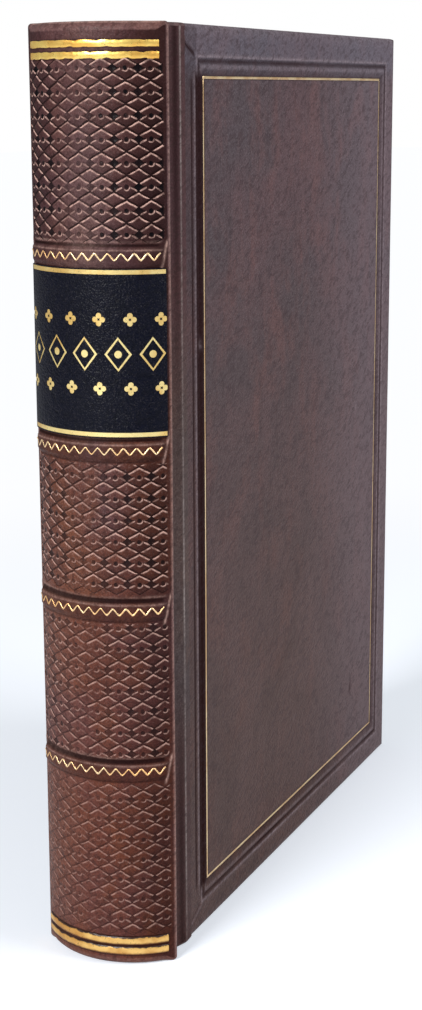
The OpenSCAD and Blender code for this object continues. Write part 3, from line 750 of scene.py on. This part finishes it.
# Joints: the same skin runs from each ridge down into the shallow joint and up over the
# cover's edge, where it laps its border. It is creased there.
calf_joint = goatskin(
    "joint goatskin", rgb(86, 68, 64), rgb(78, 66, 66), rgb(94, 70, 62), rgb(46, 32, 30), rgb(31, 11, 13),
    rgb(168, 156, 152), 0.46, 1900.0, 0.4,
    tints=(("Z", 0.12, 0.16, 0.6, rgb(94, 57, 62)), ("Z", 0.07, 0.035, 0.55, rgb(86, 52, 50))))
# Section from the ridge over the joint to the cover's face
JOINT = (
    (15.59, -7.11), (14.75, -6.55), (14.15, -6.0), (13.8, -5.35), (13.72, -4.6), (13.85, -3.7), (14.1, -2.8),
    (14.4, -1.9), (14.7, -1.0), (14.98, -0.15), (15.1, 0.5), (15.09, 1.5), (15.05, 2.3), (14.98, 3.1))
knots = np.array(JOINT)
padded = np.concatenate([2 * knots[:1] - knots[1:2], knots, 2 * knots[-1:] - knots[-2:-1]])
line = []
for k in range(1, len(padded) - 2):
    before, low, high, after = padded[k - 1:k + 3]
    for t in np.arange(0, 1, 0.2):
        line.append(0.5 * (2 * low + (high - before) * t + (2 * before - 5 * low + 4 * high - after) * t ** 2
                           + (3 * low - before - 3 * high + after) * t ** 3))
line = np.array(line + [padded[-2]])
out_x, out_y = line.T
station = np.arange(len(line))
# Painted shade in the joint's hollow, near the ridge and in its middle; painted highlights on the cover's edge and
# beside the ridge
shade = 0.85 * smooth(-6.7, -6.0, out_y) * (1 - smooth(-4.6, -3.2, out_y)) + 0.12
painted_highlight = 0.72 * bell(out_y, 0.3, 0.28) + 0.1 * (1 - smooth(-6.9, -6.3, out_y))
middle = bell(out_y, -1.3, 1.0)
ahead = np.gradient(line, axis=0)
ahead /= np.linalg.norm(ahead, axis=1)[:, None]
level = body_rows[:, None]
for side, cover in ((1, "front_cover"), (-1, "back_cover")):
    sway = 0.05 * ripple(level / 14.0, level * 0, 210 + side) * (1 - smooth(0, 8, station))
    dent = 0.06 * ripple(level / 17.0, level * 0 + out_y / 6, 220 + side) * smooth(2, 12, station)
    dent = dent * (1 - smooth(36, 46, station))
    x = side * (out_x + sway * math.cos(RIDGE_TURN) + dent * 0.8)
    y = out_y + sway * math.sin(RIDGE_TURN) + dent * 0.5
    inward = np.broadcast_to(np.stack([-side * ahead[:, 1], ahead[:, 0]], -1), (*x.shape, 2))
    # More painted shade towards head and tail, most in the joint's middle
    dark = shade + (0.12 + 0.62 * middle) * smooth(90.0, 195.0, level)
    dark = dark + (0.12 + 0.5 * middle) * smooth(75.0, 25.0, level)
    wear_and_highlight = painted_highlight * (0.75 + 0.5 * ripple(x / 4, level / 12.0, 8))
    marks = {"tooled": np.clip(dark, 0, 1)[:, ::side], "rubbed_and_highlight": np.clip(wear_and_highlight, 0, 1)[:, ::side]}
    points, marks = with_caps(
        x[:, ::side], y[:, ::side], inward[:, ::side], body_rows, np.full(len(line), JOINT_SHARE), marks)
    strip = grid_piece(cover + "_joint_covering", points, calf_joint, marks)
    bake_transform(strip)

# Covers: the skin goes over the board's edges, softly rounded at the fore edge, and is turned
# in on the inside. A blind line and a bevelled, sunk panel are pressed into the board under it.
COVER_W = 147.0
FACE_X = 15.0
INNER_X = 10.66
CORNER_R = 2.5
# Flat border, and how much broader it is at the joint and the fore edge than at the ends
BORDER = 6.0
SIDE_BORDER = 2.4
PANEL_D = 0.45
# Rounding of the edges at head and tail, and how far in and how deep it goes at the fore edge
EDGE_R = 1.6
FORE_REACH = 4.0
FORE_DROP = 1.2
# The tints are painted light: darker and browner towards the tail as painted shade, paler towards the fore edge as
# painted sheen, and a cool painted sheen on the border at the head
calf_cover = goatskin(
    "cover goatskin", rgb(98, 76, 80), rgb(86, 75, 80), rgb(112, 80, 80), rgb(52, 36, 40), rgb(33, 12, 12),
    rgb(158, 142, 148), 0.48, 1700.0, 0.8,
    tints=(("Z", 0.2, 0.03, 0.6, rgb(86, 62, 50)), ("Y", 0.0, 0.075, 0.46, rgb(130, 114, 122)),
           ("Z", 0.197, 0.203, 0.45, rgb(112, 110, 124))))
# Turned-in leather, from the paper to the edge: margin, distance from the inner face, dark
TURN_IN = (
    (7.0, 0, 0), (4.6, 0, 0.1), (2.4, 0, 0), (1.0, 0, 0),
    (0.5, 0.03, 0), (0.2, 0.16, 0), (0.05, 0.34, 0), (0.0, 0.6, 0))
# The face from the edge inward: margin, depth, dark, rub. Dark is the blind line's tool mark with painted shade, and
# painted shade on the bevel; rub is painted highlights on the edge and on the lips
PROFILE = (
    *((m, 0, 0, wear_and_highlight) for m, wear_and_highlight in (
        (0.0, 0.1), (0.05, 0.15), (0.18, 0.2), (0.4, 0.2), (0.7, 0.16), (1.1, 0.1), (1.6, 0.1), (2.1, 0.06),
        (2.6, 0.02))),
    *((m, 0, 0, 0) for m in (3.1, 3.6, 4.0, 4.25, 4.4, 4.55, 4.7, 5.1, 5.6)),
    (6.1, -0.01, 0, 0.05), (6.45, -0.03, 0, 0.2), (6.72, -0.05, 0, 0.5), (6.95, -0.03, 0.05, 0.45),
    # The blind line
    (7.15, 0.05, 0.35, 0.1), (7.45, 0.2, 0.6, 0), (7.8, 0.33, 0.75, 0), (8.15, 0.2, 0.55, 0),
    (8.45, 0.04, 0.25, 0.05), (8.7, -0.01, 0.05, 0.2), (9.05, -0.01, 0.05, 0.22), (9.3, 0.01, 0.1, 0.2),
    # The bevel down to the panel, with the seat of the gilt line
    (9.5, 0.05, 0.2, 0.05), (9.9, 0.17, 0.3, 0), (10.35, 0.31, 0.35, 0), (10.65, 0.405, 0.45, 0),
    (10.86, PANEL_D, 0.55, 0), (10.92, 0.57, 0.6, 0), (11.2, 0.57, 0.4, 0), (11.53, 0.57, 0.6, 0),
    (11.6, PANEL_D, 0.5, 0), (11.9, 0.44, 0.15, 0.08), (12.4, PANEL_D, 0, 0))


def stops(length, near_end, count):
    """Shares of a side where its points stand, closer together at both corners."""
    found = (np.arange(0, 14, 0.6), np.arange(14.4, length - near_end - 0.4, 1.15),
             np.linspace(length - near_end, length, count))
    return np.concatenate(found) / length


stops_y, stops_z = stops(COVER_W, 9.6, 17), stops(COVER_H, 13.6, 23)
ny, nz = len(stops_y) - 1, len(stops_z) - 1


def ring(margin_y, margin):
    """One closed line round the cover at its margins, its two fore-edge corners rounded."""
    corner = max(CORNER_R - margin, 0)
    high_y, high_z = COVER_W - margin_y, COVER_H - margin
    span_y = margin_y + stops_y * (high_y - margin_y)
    span_z = margin + stops_z * (high_z - margin)
    y = np.concatenate([span_y[:-1], np.full(nz, high_y), span_y[:0:-1], np.full(nz, margin_y)])
    z = np.concatenate([np.full(ny, margin), span_z[:-1], np.full(ny, high_z), span_z[:0:-1]])
    if corner > 0.01:
        a = high_y - y
        for up in (0, 1):
            b = (high_z - z) if up else (z - margin)
            near = (a < corner) & (b < corner)
            t = np.radians(np.where(b < a, 45 + 45 * a / corner, 45 - 45 * b / corner)[near])
            y[near] = high_y - corner + corner * np.cos(t)
            reach = corner * np.sin(t)
            z[near] = (high_z - corner + reach) if up else (margin + corner - reach)
    return y, z


def edge_drop(y, z):
    """How far the cover's face falls towards its rounded edges."""
    def fall(distance, reach, radius):
        inside = np.clip(reach - distance, 0, reach)
        return radius - np.sqrt(np.maximum(radius ** 2 - inside ** 2, 0))
    fore = fall(COVER_W - y, FORE_REACH, (FORE_REACH ** 2 + FORE_DROP ** 2) / (2 * FORE_DROP))
    return np.maximum.reduce([fore, fall(z, EDGE_R, EDGE_R), fall(COVER_H - z, EDGE_R, EDGE_R), fall(y, 1.0, 1.0)])


# Small round marks of use on the front, pressed in or rubbed, and on the back: y, z, size, force
PRICKS = ((120.4, 190.6, 0.7, 0.7), (96.0, 178.0, 0.5, 0.4), (61.0, 72.0, 0.6, 0.3), (124.5, 140.0, 0.45, 0.4))
FRONT_RUBS = ((117.1, 109.6, 0.7, 0.7), (10.1, 140.5, 0.8, 0.5), (44.0, 155.0, 0.5, 0.3), (71.0, 33.0, 0.6, 0.3))
BACK_RUBS = ((100.0, 22.0, 0.8, 0.5), (38.0, 120.0, 0.6, 0.4), (88.0, 168.0, 0.7, 0.35))
NICK_Y, NICK_Z = 115.1, 27.8


def face_wear(y, z, front, seed):
    """Unevenness of the pressed panel and the small marks of use: depth, dark, rub."""
    def spot(at_y, at_z, size):
        return np.exp(-((y - at_y) ** 2 + (z - at_z) ** 2) / size ** 2)
    depth = 0.035 * ripple(y / 26.0, z / 34.0, seed) + 0.008 * ripple(y / 4.0, z / 5.0, seed + 1)
    dark, rub_and_highlight = 0 * y, 0 * y
    if front:
        dark = np.exp(-((y - NICK_Y - 0.12 * (z - NICK_Z)) / 0.45) ** 2 - ((z - NICK_Z) / 1.5) ** 4)
        depth += 0.28 * dark
        for *place, force in PRICKS:
            depth += 0.06 * spot(*place)
            dark = np.maximum(dark, force * spot(*place))
    for *place, force in FRONT_RUBS if front else BACK_RUBS:
        rub_and_highlight = np.maximum(rub_and_highlight, force * spot(*place))
    return depth, dark, rub_and_highlight


def corner_crease(y, z):
    """Creases that the skin makes from the panel's corners at the joint to the cover's corners."""
    depth, dark, rub_and_highlight = 0 * y, 0 * y, 0 * y
    start = np.array([9.4, 7.0])
    run = np.array([1.2, 3.3]) - start
    run /= np.hypot(*run)
    # Each crease gets painted shadow down it and a painted highlight beside it
    # The one at the head is the deeper and darker
    for up, deep, black, lit in ((z, 0.14, 0.4, 0.35), (COVER_H - z, 0.3, 1.0, 0.14)):
        ahead = (y - start[0]) * run[0] + (up - start[1]) * run[1]
        aside = (y - start[0]) * run[1] - (up - start[1]) * run[0]
        on = smooth(-0.6, 0.3, ahead) * (1 - smooth(7.4, 9.2, ahead))
        depth += deep * on * bell(aside, 0, 0.55)
        dark = np.maximum(dark, black * on * bell(aside, 0, 0.8))
        rub_and_highlight = np.maximum(rub_and_highlight, lit * on * bell(aside, -0.75, 0.3))
    # Edge of the joint's strip where it laps the border, between those creases: painted shadow along the edge and a
    # painted highlight on its lip
    between = smooth(8.0, 14.0, z) * smooth(8.0, 14.0, COVER_H - z)
    lap = bell(y, 6.3, 0.5) * between
    rub_and_highlight = np.maximum(rub_and_highlight, 0.45 * bell(y, 7.85, 0.4) * between)
    # The strip beside the joint is darker, most towards the head; the fore edge's rounding has painted shade
    beside_joint_dark = (1 - smooth(8.6, 9.2, y)) * (0.08 + 0.24 * smooth(60.0, 190.0, z))
    dark = np.maximum.reduce([dark, 0.95 * lap, beside_joint_dark, 0.45 * smooth(COVER_W - 3.0, COVER_W - 1.6, y)])
    return depth + 0.16 * lap, dark, rub_and_highlight


def cover_skin(name, side, seed, material):
    """One cover's leather: rings from the turned-in edge over the face, then a grid over the panel."""
    front = side == 1
    rings = []
    for m, rise, shade in (*TURN_IN, (0.0, None, 0.1)):
        y, z = ring(m, m)
        x = FACE_X - edge_drop(y, z) - 0.35 if rise is None else np.full(y.shape, INNER_X + rise)
        mitre = 0 * y
        if m > 0.5:
            for b in (z, COVER_H - z):
                for a in (y, COVER_W - y):
                    mitre = np.maximum(mitre, (np.abs(a - b) < 0.4) * (a < 12))
        rings.append((x, y, z, np.maximum(shade, 0.8 * mitre), np.full(y.shape, 0.12 if 0 < m < 1 else 0.03)))
    for m, depth, shade, painted_highlight in PROFILE:
        y, z = ring(m + SIDE_BORDER * float(smooth(1.5, 6.4, np.array(m))), m)
        if m < BORDER:
            crease, crease_dark, crease_and_lip_highlight = corner_crease(y, z)
        else:
            # Inside the border, the blind line and the bevel beside the joint get painted shade and lose their
            # painted highlights
            shaded = (y < 13.9) * smooth(9.0, 11.5, z) * smooth(9.0, 11.5, COVER_H - z)
            crease, crease_dark, crease_and_lip_highlight = 0 * y, (0.96 if m < 10.0 else 0.8) * shaded, 0 * y
            painted_highlight = painted_highlight * (1 - shaded)
        wear, wear_dark, wear_rub = face_wear(y, z, front, seed)
        uneven = 0.75 + 0.5 * (ripple(y / 9.0, z / 9.0, seed + 7) * 0.5 + 0.5)
        rings.append((
            FACE_X - depth - edge_drop(y, z) - crease - wear, y, z,
            np.clip(np.maximum.reduce([shade * uneven, crease_dark, wear_dark]), 0, 1),
            np.clip(np.maximum.reduce([painted_highlight * uneven, crease_and_lip_highlight, wear_rub]), 0, 1)))
    low = PROFILE[-1][0]
    low_y = low + SIDE_BORDER
    y, z = np.meshgrid(low_y + stops_y * (COVER_W - 2 * low_y), low + stops_z * (COVER_H - 2 * low), indexing="ij")
    wear, wear_dark, wear_rub = face_wear(y, z, front, seed)
    panel = [part[1:-1, 1:-1].ravel() for part in (FACE_X - PANEL_D - wear, y, z, wear_dark, wear_rub)]
    x, y, z, dark, rub_and_highlight = (np.concatenate(parts) for parts in zip(*rings, panel))
    index = np.arange(len(rings) * 2 * (ny + nz)).reshape(len(rings), -1)
    # The panel's grid shares its outer points with the last ring
    field = np.zeros((ny + 1, nz + 1), int)
    field[1:-1, 1:-1] = index.size + np.arange((ny - 1) * (nz - 1)).reshape(ny - 1, nz - 1)
    sides = np.split(index[-1], (ny, ny + nz, 2 * ny + nz))
    field[:ny, 0], field[ny, :nz], field[ny:0:-1, nz], field[0, nz:0:-1] = sides
    inner = np.stack([field[:-1, :-1], field[1:, :-1], field[1:, 1:], field[:-1, 1:]], -1).reshape(-1, 4)
    faces = np.concatenate([quads(index, ring=True), inner])[:, ::side]
    marks = {"tooled": dark, "rubbed_and_highlight": rub_and_highlight}
    return make_piece(name, np.stack([side * x, y, z], -1), faces.tolist(), material, marks)


for side, cover, node, seed in ((1, "front_cover", "front_leather", 300), (-1, "back_cover", "back_leather", 400)):
    skin = cover_skin(cover + "_covering", side, seed, calf_cover)
    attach(skin, cover)
    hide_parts(node)

# Gilding: gold leaf laid on glair and pressed in with heated tools. It is bright where it
# holds and thin or gone where the grain was open, so that the leather shows through.
# The rules at the head are two plain lines run round the spine with a wheel.
gold_tree, n, given, out = new_group(
    "worn gold", {"Gone": 0.5, "Bright": None, "Dull": None, "Under": None}, ("Color", "Metal", "Rough", "Height"))
where = n.own()
flaw = n.noise(where, 1100.0, 4.0, 0.7)
patch = n.noise(where, 130.0, 3.0, 0.6)
missing = n.band(n.more(patch, 0.45, n.times(flaw, 0.65)), given["Gone"], n.plus(given["Gone"], 0.07))
n.fill(out, Color=n.mix(missing, n.mix(n.band(patch, 0.35, 0.65), given["Dull"], given["Bright"]), given["Under"]),
       Metal=n.minus(0.7, n.times(missing, 0.65)),
       Rough=n.more(missing, 0.25, n.band(flaw, 0.3, 0.7, 0.26, 0.42)),
       Height=n.plus(n.times(flaw, 0.6), n.times(missing, -0.5)))


def gold_leaf(name, bright, dull, under, gone):
    made, n = new_material(name)
    leaf = n.group(gold_tree, Gone=gone, Bright=bright, Dull=dull, Under=under)
    n.paint(leaf["Color"], leaf["Rough"], n.bump(leaf["Height"], 0.5, 0.00012), Metallic=leaf["Metal"])
    return made


RULE_FRAY = 0.17
# Across a rule: share of half its width, height over the pressed skin
RULE_SECTION = ((-1.0, -0.04), (-0.85, 0.04), (0.0, 0.09), (0.85, 0.04), (1.0, -0.04))
rule_gold = gold_leaf("spine gold", rgb(255, 220, 122), rgb(240, 182, 84), rgb(70, 40, 24), 0.66)
turns = np.linspace(-RULE_TURN, RULE_TURN, 240)
for number, (middle, width) in enumerate(RULES[:2]):
    frayed = [RULE_FRAY * ripple(turns * 36, 0 * turns, 600 + 2 * number + edge, 4) for edge in (0, 1)]
    rule = grid_piece(f"head_gilt_rule_{number + 1}", np.array([
        on_spine(SPINE_R - PRESS + lift, turns, middle + share * (width / 2 + frayed[int(share > 0)] * (share != 0)))
        for share, lift in RULE_SECTION]), rule_gold)
    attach(rule, "root")
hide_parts("head_gilt_rules")

# Gilt line round each cover's panel: one thin line of gold leaf pressed with a hand tool into
# the skin along the foot of the bevel, a little uneven and mitred at the corners.
fillet_gold = gold_leaf("panel gold", rgb(255, 228, 180), rgb(232, 190, 138), rgb(96, 72, 58), 0.68)
LINE_AT = 10.95
LINE_W = 0.62
# Across the line: distance from its outer edge, depth under the cover's face
LINE_SECTION = ((0.0, 0.62), (0.04, 0.5), (LINE_W - 0.04, 0.5), (LINE_W, 0.62))
side_y, side_z = np.linspace(0, 1, 60)[:-1], np.linspace(0, 1, 90)[:-1]
for side, cover in ((1, "front"), (-1, "back")):
    rows = []
    for inset, depth in LINE_SECTION:
        low_y, low_z = LINE_AT + SIDE_BORDER + inset, LINE_AT + inset
        wide, tall = COVER_W - 2 * low_y, COVER_H - 2 * low_z
        y = low_y + np.concatenate([wide * side_y, wide + 0 * side_z, wide - wide * side_y, 0 * side_z])
        z = low_z + np.concatenate([0 * side_y, tall * side_z, tall + 0 * side_y, tall - tall * side_z])
        wander = 0.05 * ripple(y / 9.0, z / 9.0, 620)
        rows.append(np.stack([side * (FACE_X - depth) + 0 * y, y + wander, z + wander], -1)[::side])
    line = grid_piece(f"{cover}_panel_line", np.array(rows), fillet_gold, ring=True)
    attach(line, f"{cover}_cover")
    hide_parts(f"{cover}_gilt_fillet")

# Zigzag of each band: a fine line of gold leaf pressed along the top of the band with a small
# wheel, so that it follows the skin's unevenness and leans a little here and there.
zigzag_gold = gold_leaf("band gold", rgb(255, 222, 172), rgb(244, 190, 126), rgb(150, 100, 60), 0.76)
ZIG_L = 2.75
ZIG_RISE = 0.76
ZIG_HALF = 16.7
# Half the stroke's width, and across it: share of that, height over the skin
ZIG_STROKE = 0.17
ZIG_SECTION = ((-1.0, -0.03), (-0.6, 0.05), (0.0, 0.08), (0.6, 0.05), (1.0, -0.03))
s = np.arange(-ZIG_HALF, ZIG_HALF + 0.01, ZIG_L / 12)
for number, level in enumerate(BANDS):
    phase = np.abs(((s + 0.12 * ripple(s / 3.0, 0 * s, 500 + number)) / ZIG_L) % 1.0 - 0.5) * 4 - 1
    wave = np.sin(phase * math.pi / 2) * 0.35 + phase * 0.65
    z = level + ZIG_RISE * wave + 0.06 * ripple(s / 5.0, 0 * s, 520 + number)
    course = np.stack([np.gradient(s), np.gradient(z)], -1)
    course /= np.linalg.norm(course, axis=1)[:, None]
    stroke = ZIG_STROKE + 0.04 * ripple(s / 2.0, 0 * s, 540 + number) + 0.05 * (wave < -0.7) * (number < 2)
    rows = []
    for share, lift in ZIG_SECTION:
        at, up = s - course[:, 1] * stroke * share, z + course[:, 0] * stroke * share
        rows.append(on_spine(SPINE_R + BAND_UP + lift + skin_wave(at, up), at / SPINE_R, up))
    zigzag = grid_piece(f"band_zigzag_{number + 1}", np.array(rows), zigzag_gold)
    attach(zigzag, "root")
    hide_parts(f"band_gilding_{number + 1}")

# Gilt rules at the tail: two broad rolls beside one another, rounded by the tool's hollow edge,
# the gold cracked along their upper edges, with patchy painted shade in dark brown along the lower ones.
ROLL_UP = 0.42
tail_gold, n = new_material("tail gold")
leaf = n.group(gold_tree, Gone=0.68, Bright=rgb(246, 200, 118), Dull=rgb(206, 148, 72), Under=rgb(70, 40, 24))
smear = n.noise(n.stretch(n.own(), (1.0, 1.0, 0.3)), 900.0, 3.0)
lower_side_shade = n.band(n.more(smear, 0.5, n.mark("low_side")), 0.5, 1.15)
cracked = n.band(n.more(n.noise(n.own(), 420.0, 4.0, 0.7), 1.3, n.mark("upper_side")), 1.22, 1.42)
n.paint(n.mix(cracked, n.mix(lower_side_shade, leaf["Color"], rgb(104, 58, 26)), rgb(50, 28, 20)), leaf["Rough"],
        n.bump(leaf["Height"], 0.6, 0.00015), Metallic=n.times(leaf["Metal"], n.minus(0.85, n.times(cracked, 0.8))))
turns = np.linspace(-RULE_TURN, RULE_TURN, 130)
# Round the roll from its lower edge over its top, then back along the skin: across, up
arc = np.radians(np.linspace(0, 180, 15))
across = np.concatenate([-np.cos(arc), [1, -1]])
raised = np.concatenate([SPINE_R - 0.06 + ROLL_UP * np.sin(arc), [SPINE_R - PRESS] * 2])
low_side = np.repeat(np.maximum(-across, 0)[None, :], len(turns), 0)
upper_side = np.repeat(np.maximum(across, 0)[None, :], len(turns), 0)
for number, (middle, width) in enumerate(RULES[2:]):
    frayed = 1 + 0.10 * ripple(turns * 40, 0 * turns, int(middle * 10), 2)
    points = np.stack([
        on_spine(radius, turns, middle + share * width / 2 * (frayed if 7 < k < len(arc) else 1))
        for k, (share, radius) in enumerate(zip(across, raised))], 1)
    coil = grid_piece(f"tail_gilt_rule_{number + 1}", points, tail_gold,
                      {"low_side": low_side, "upper_side": upper_side}, ring=True, caps=True)
    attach(coil, "root")
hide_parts("tail_gilt_rules")

# Label: thin dark blue leather pared at its edges and pasted between two bands, with gilt
# rules along its long edges and plain gilt ornaments pressed between them.
label_skin = goatskin(
    "label goatskin", rgb(5, 7, 23), rgb(4, 6, 22), rgb(8, 9, 25), rgb(2, 3, 9), rgb(2, 3, 7), rgb(44, 46, 60),
    0.32, 2200.0, 0.6, mottled=0.3)
dress(label_skin, "label_leather", "title_label")
label_gold = gold_leaf("label gold", rgb(255, 232, 160), rgb(236, 194, 112), rgb(46, 36, 34), 0.68)
dress(label_gold, "gold_leaf", "label_gilding")

# Floor and room, for the picture only: a plain pale sheet that keeps the book's shadow and goes
# over into an even white room. What the camera sees of both is lighter than what lights the book.
floor_mesh = bpy.data.meshes.new("floor")
floor_mesh.from_pydata([(-3, -3, 0), (3, -3, 0), (3, 6, 0), (-3, 6, 0)], [], [(0, 1, 2, 3)])
floor = bpy.data.objects.new("floor", floor_mesh)
bpy.context.scene.collection.objects.link(floor)
floor_paint, n = new_material("floor")
away = n.add("VectorMath", operation="LENGTH")
n.feed(away.inputs[0], n.stretch(n.own(), shift=(-0.05, -0.05, 0.0)))
seen = n.add("LightPath").outputs["Is Camera Ray"]
fade = n.times(n.band(away.outputs["Value"], 0.10, 0.45), seen)
glow = n.mix(fade, n.mix(seen, (0, 0, 0), (0.30, 0.325, 0.35)), (0.97, 0.98, 1))
n.paint(n.mix(fade, (0.78, 0.81, 0.87), (0, 0, 0)), 0.8, Specular_IOR_Level=0.1, Emission_Color=glow,
        Emission_Strength=1.0)
floor_mesh.materials.append(floor_paint)
floor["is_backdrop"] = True

world = bpy.data.worlds.new("room")
bpy.context.scene.world = world
world.use_nodes = True
n = Nodes(world.node_tree)
seen = n.add("LightPath").outputs["Is Camera Ray"]
n.fill(world.node_tree.nodes["Background"], Color=(1.0, 1.0, 1.0), Strength=n.band(seen, 0.0, 1.0, 0.24, 1.0))


def soft_box(name, at, aim, size, power):
    lamp = bpy.data.lights.new(name, "AREA")
    lamp.shape = "RECTANGLE"
    lamp.size, lamp.size_y = size
    lamp.energy = power
    box = bpy.data.objects.new(name, lamp)
    box.location = at
    box.rotation_euler = (Vector(aim) - Vector(at)).to_track_quat("-Z", "Y").to_euler()
    bpy.context.scene.collection.objects.link(box)


soft_box("window", (-0.16, -0.92, 0.62), (0, 0, 0.11), (0.36, 0.36), 10.0)
soft_box("side", (0.95, 0.10, 0.75), (0, 0, 0.1), (0.7, 0.7), 9.0)

# Camera: a little above the tail, in front of the spine, with the front cover in view. Its place
# and direction were fitted to the book's edges in the photo.
camera = bpy.data.cameras.new("camera")
camera.sensor_fit = "VERTICAL"
camera.sensor_height = 36.0
camera.lens = 64.95
stand = bpy.data.objects.new("camera", camera)
right = Vector((0.9154, 0.4026, -0.0044))
up = Vector((-0.0850, 0.2037, 0.9753))
ahead = Vector((-0.3936, 0.8924, -0.2208))
turned = Matrix((right, up, -ahead)).transposed().to_4x4()
stand.matrix_world = Matrix.Translation((0.1805, -0.4244, 0.1955)) @ turned
bpy.context.scene.collection.objects.link(stand)
bpy.context.scene.camera = stand
bpy.context.scene.view_settings.view_transform = "Standard"

low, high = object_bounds()
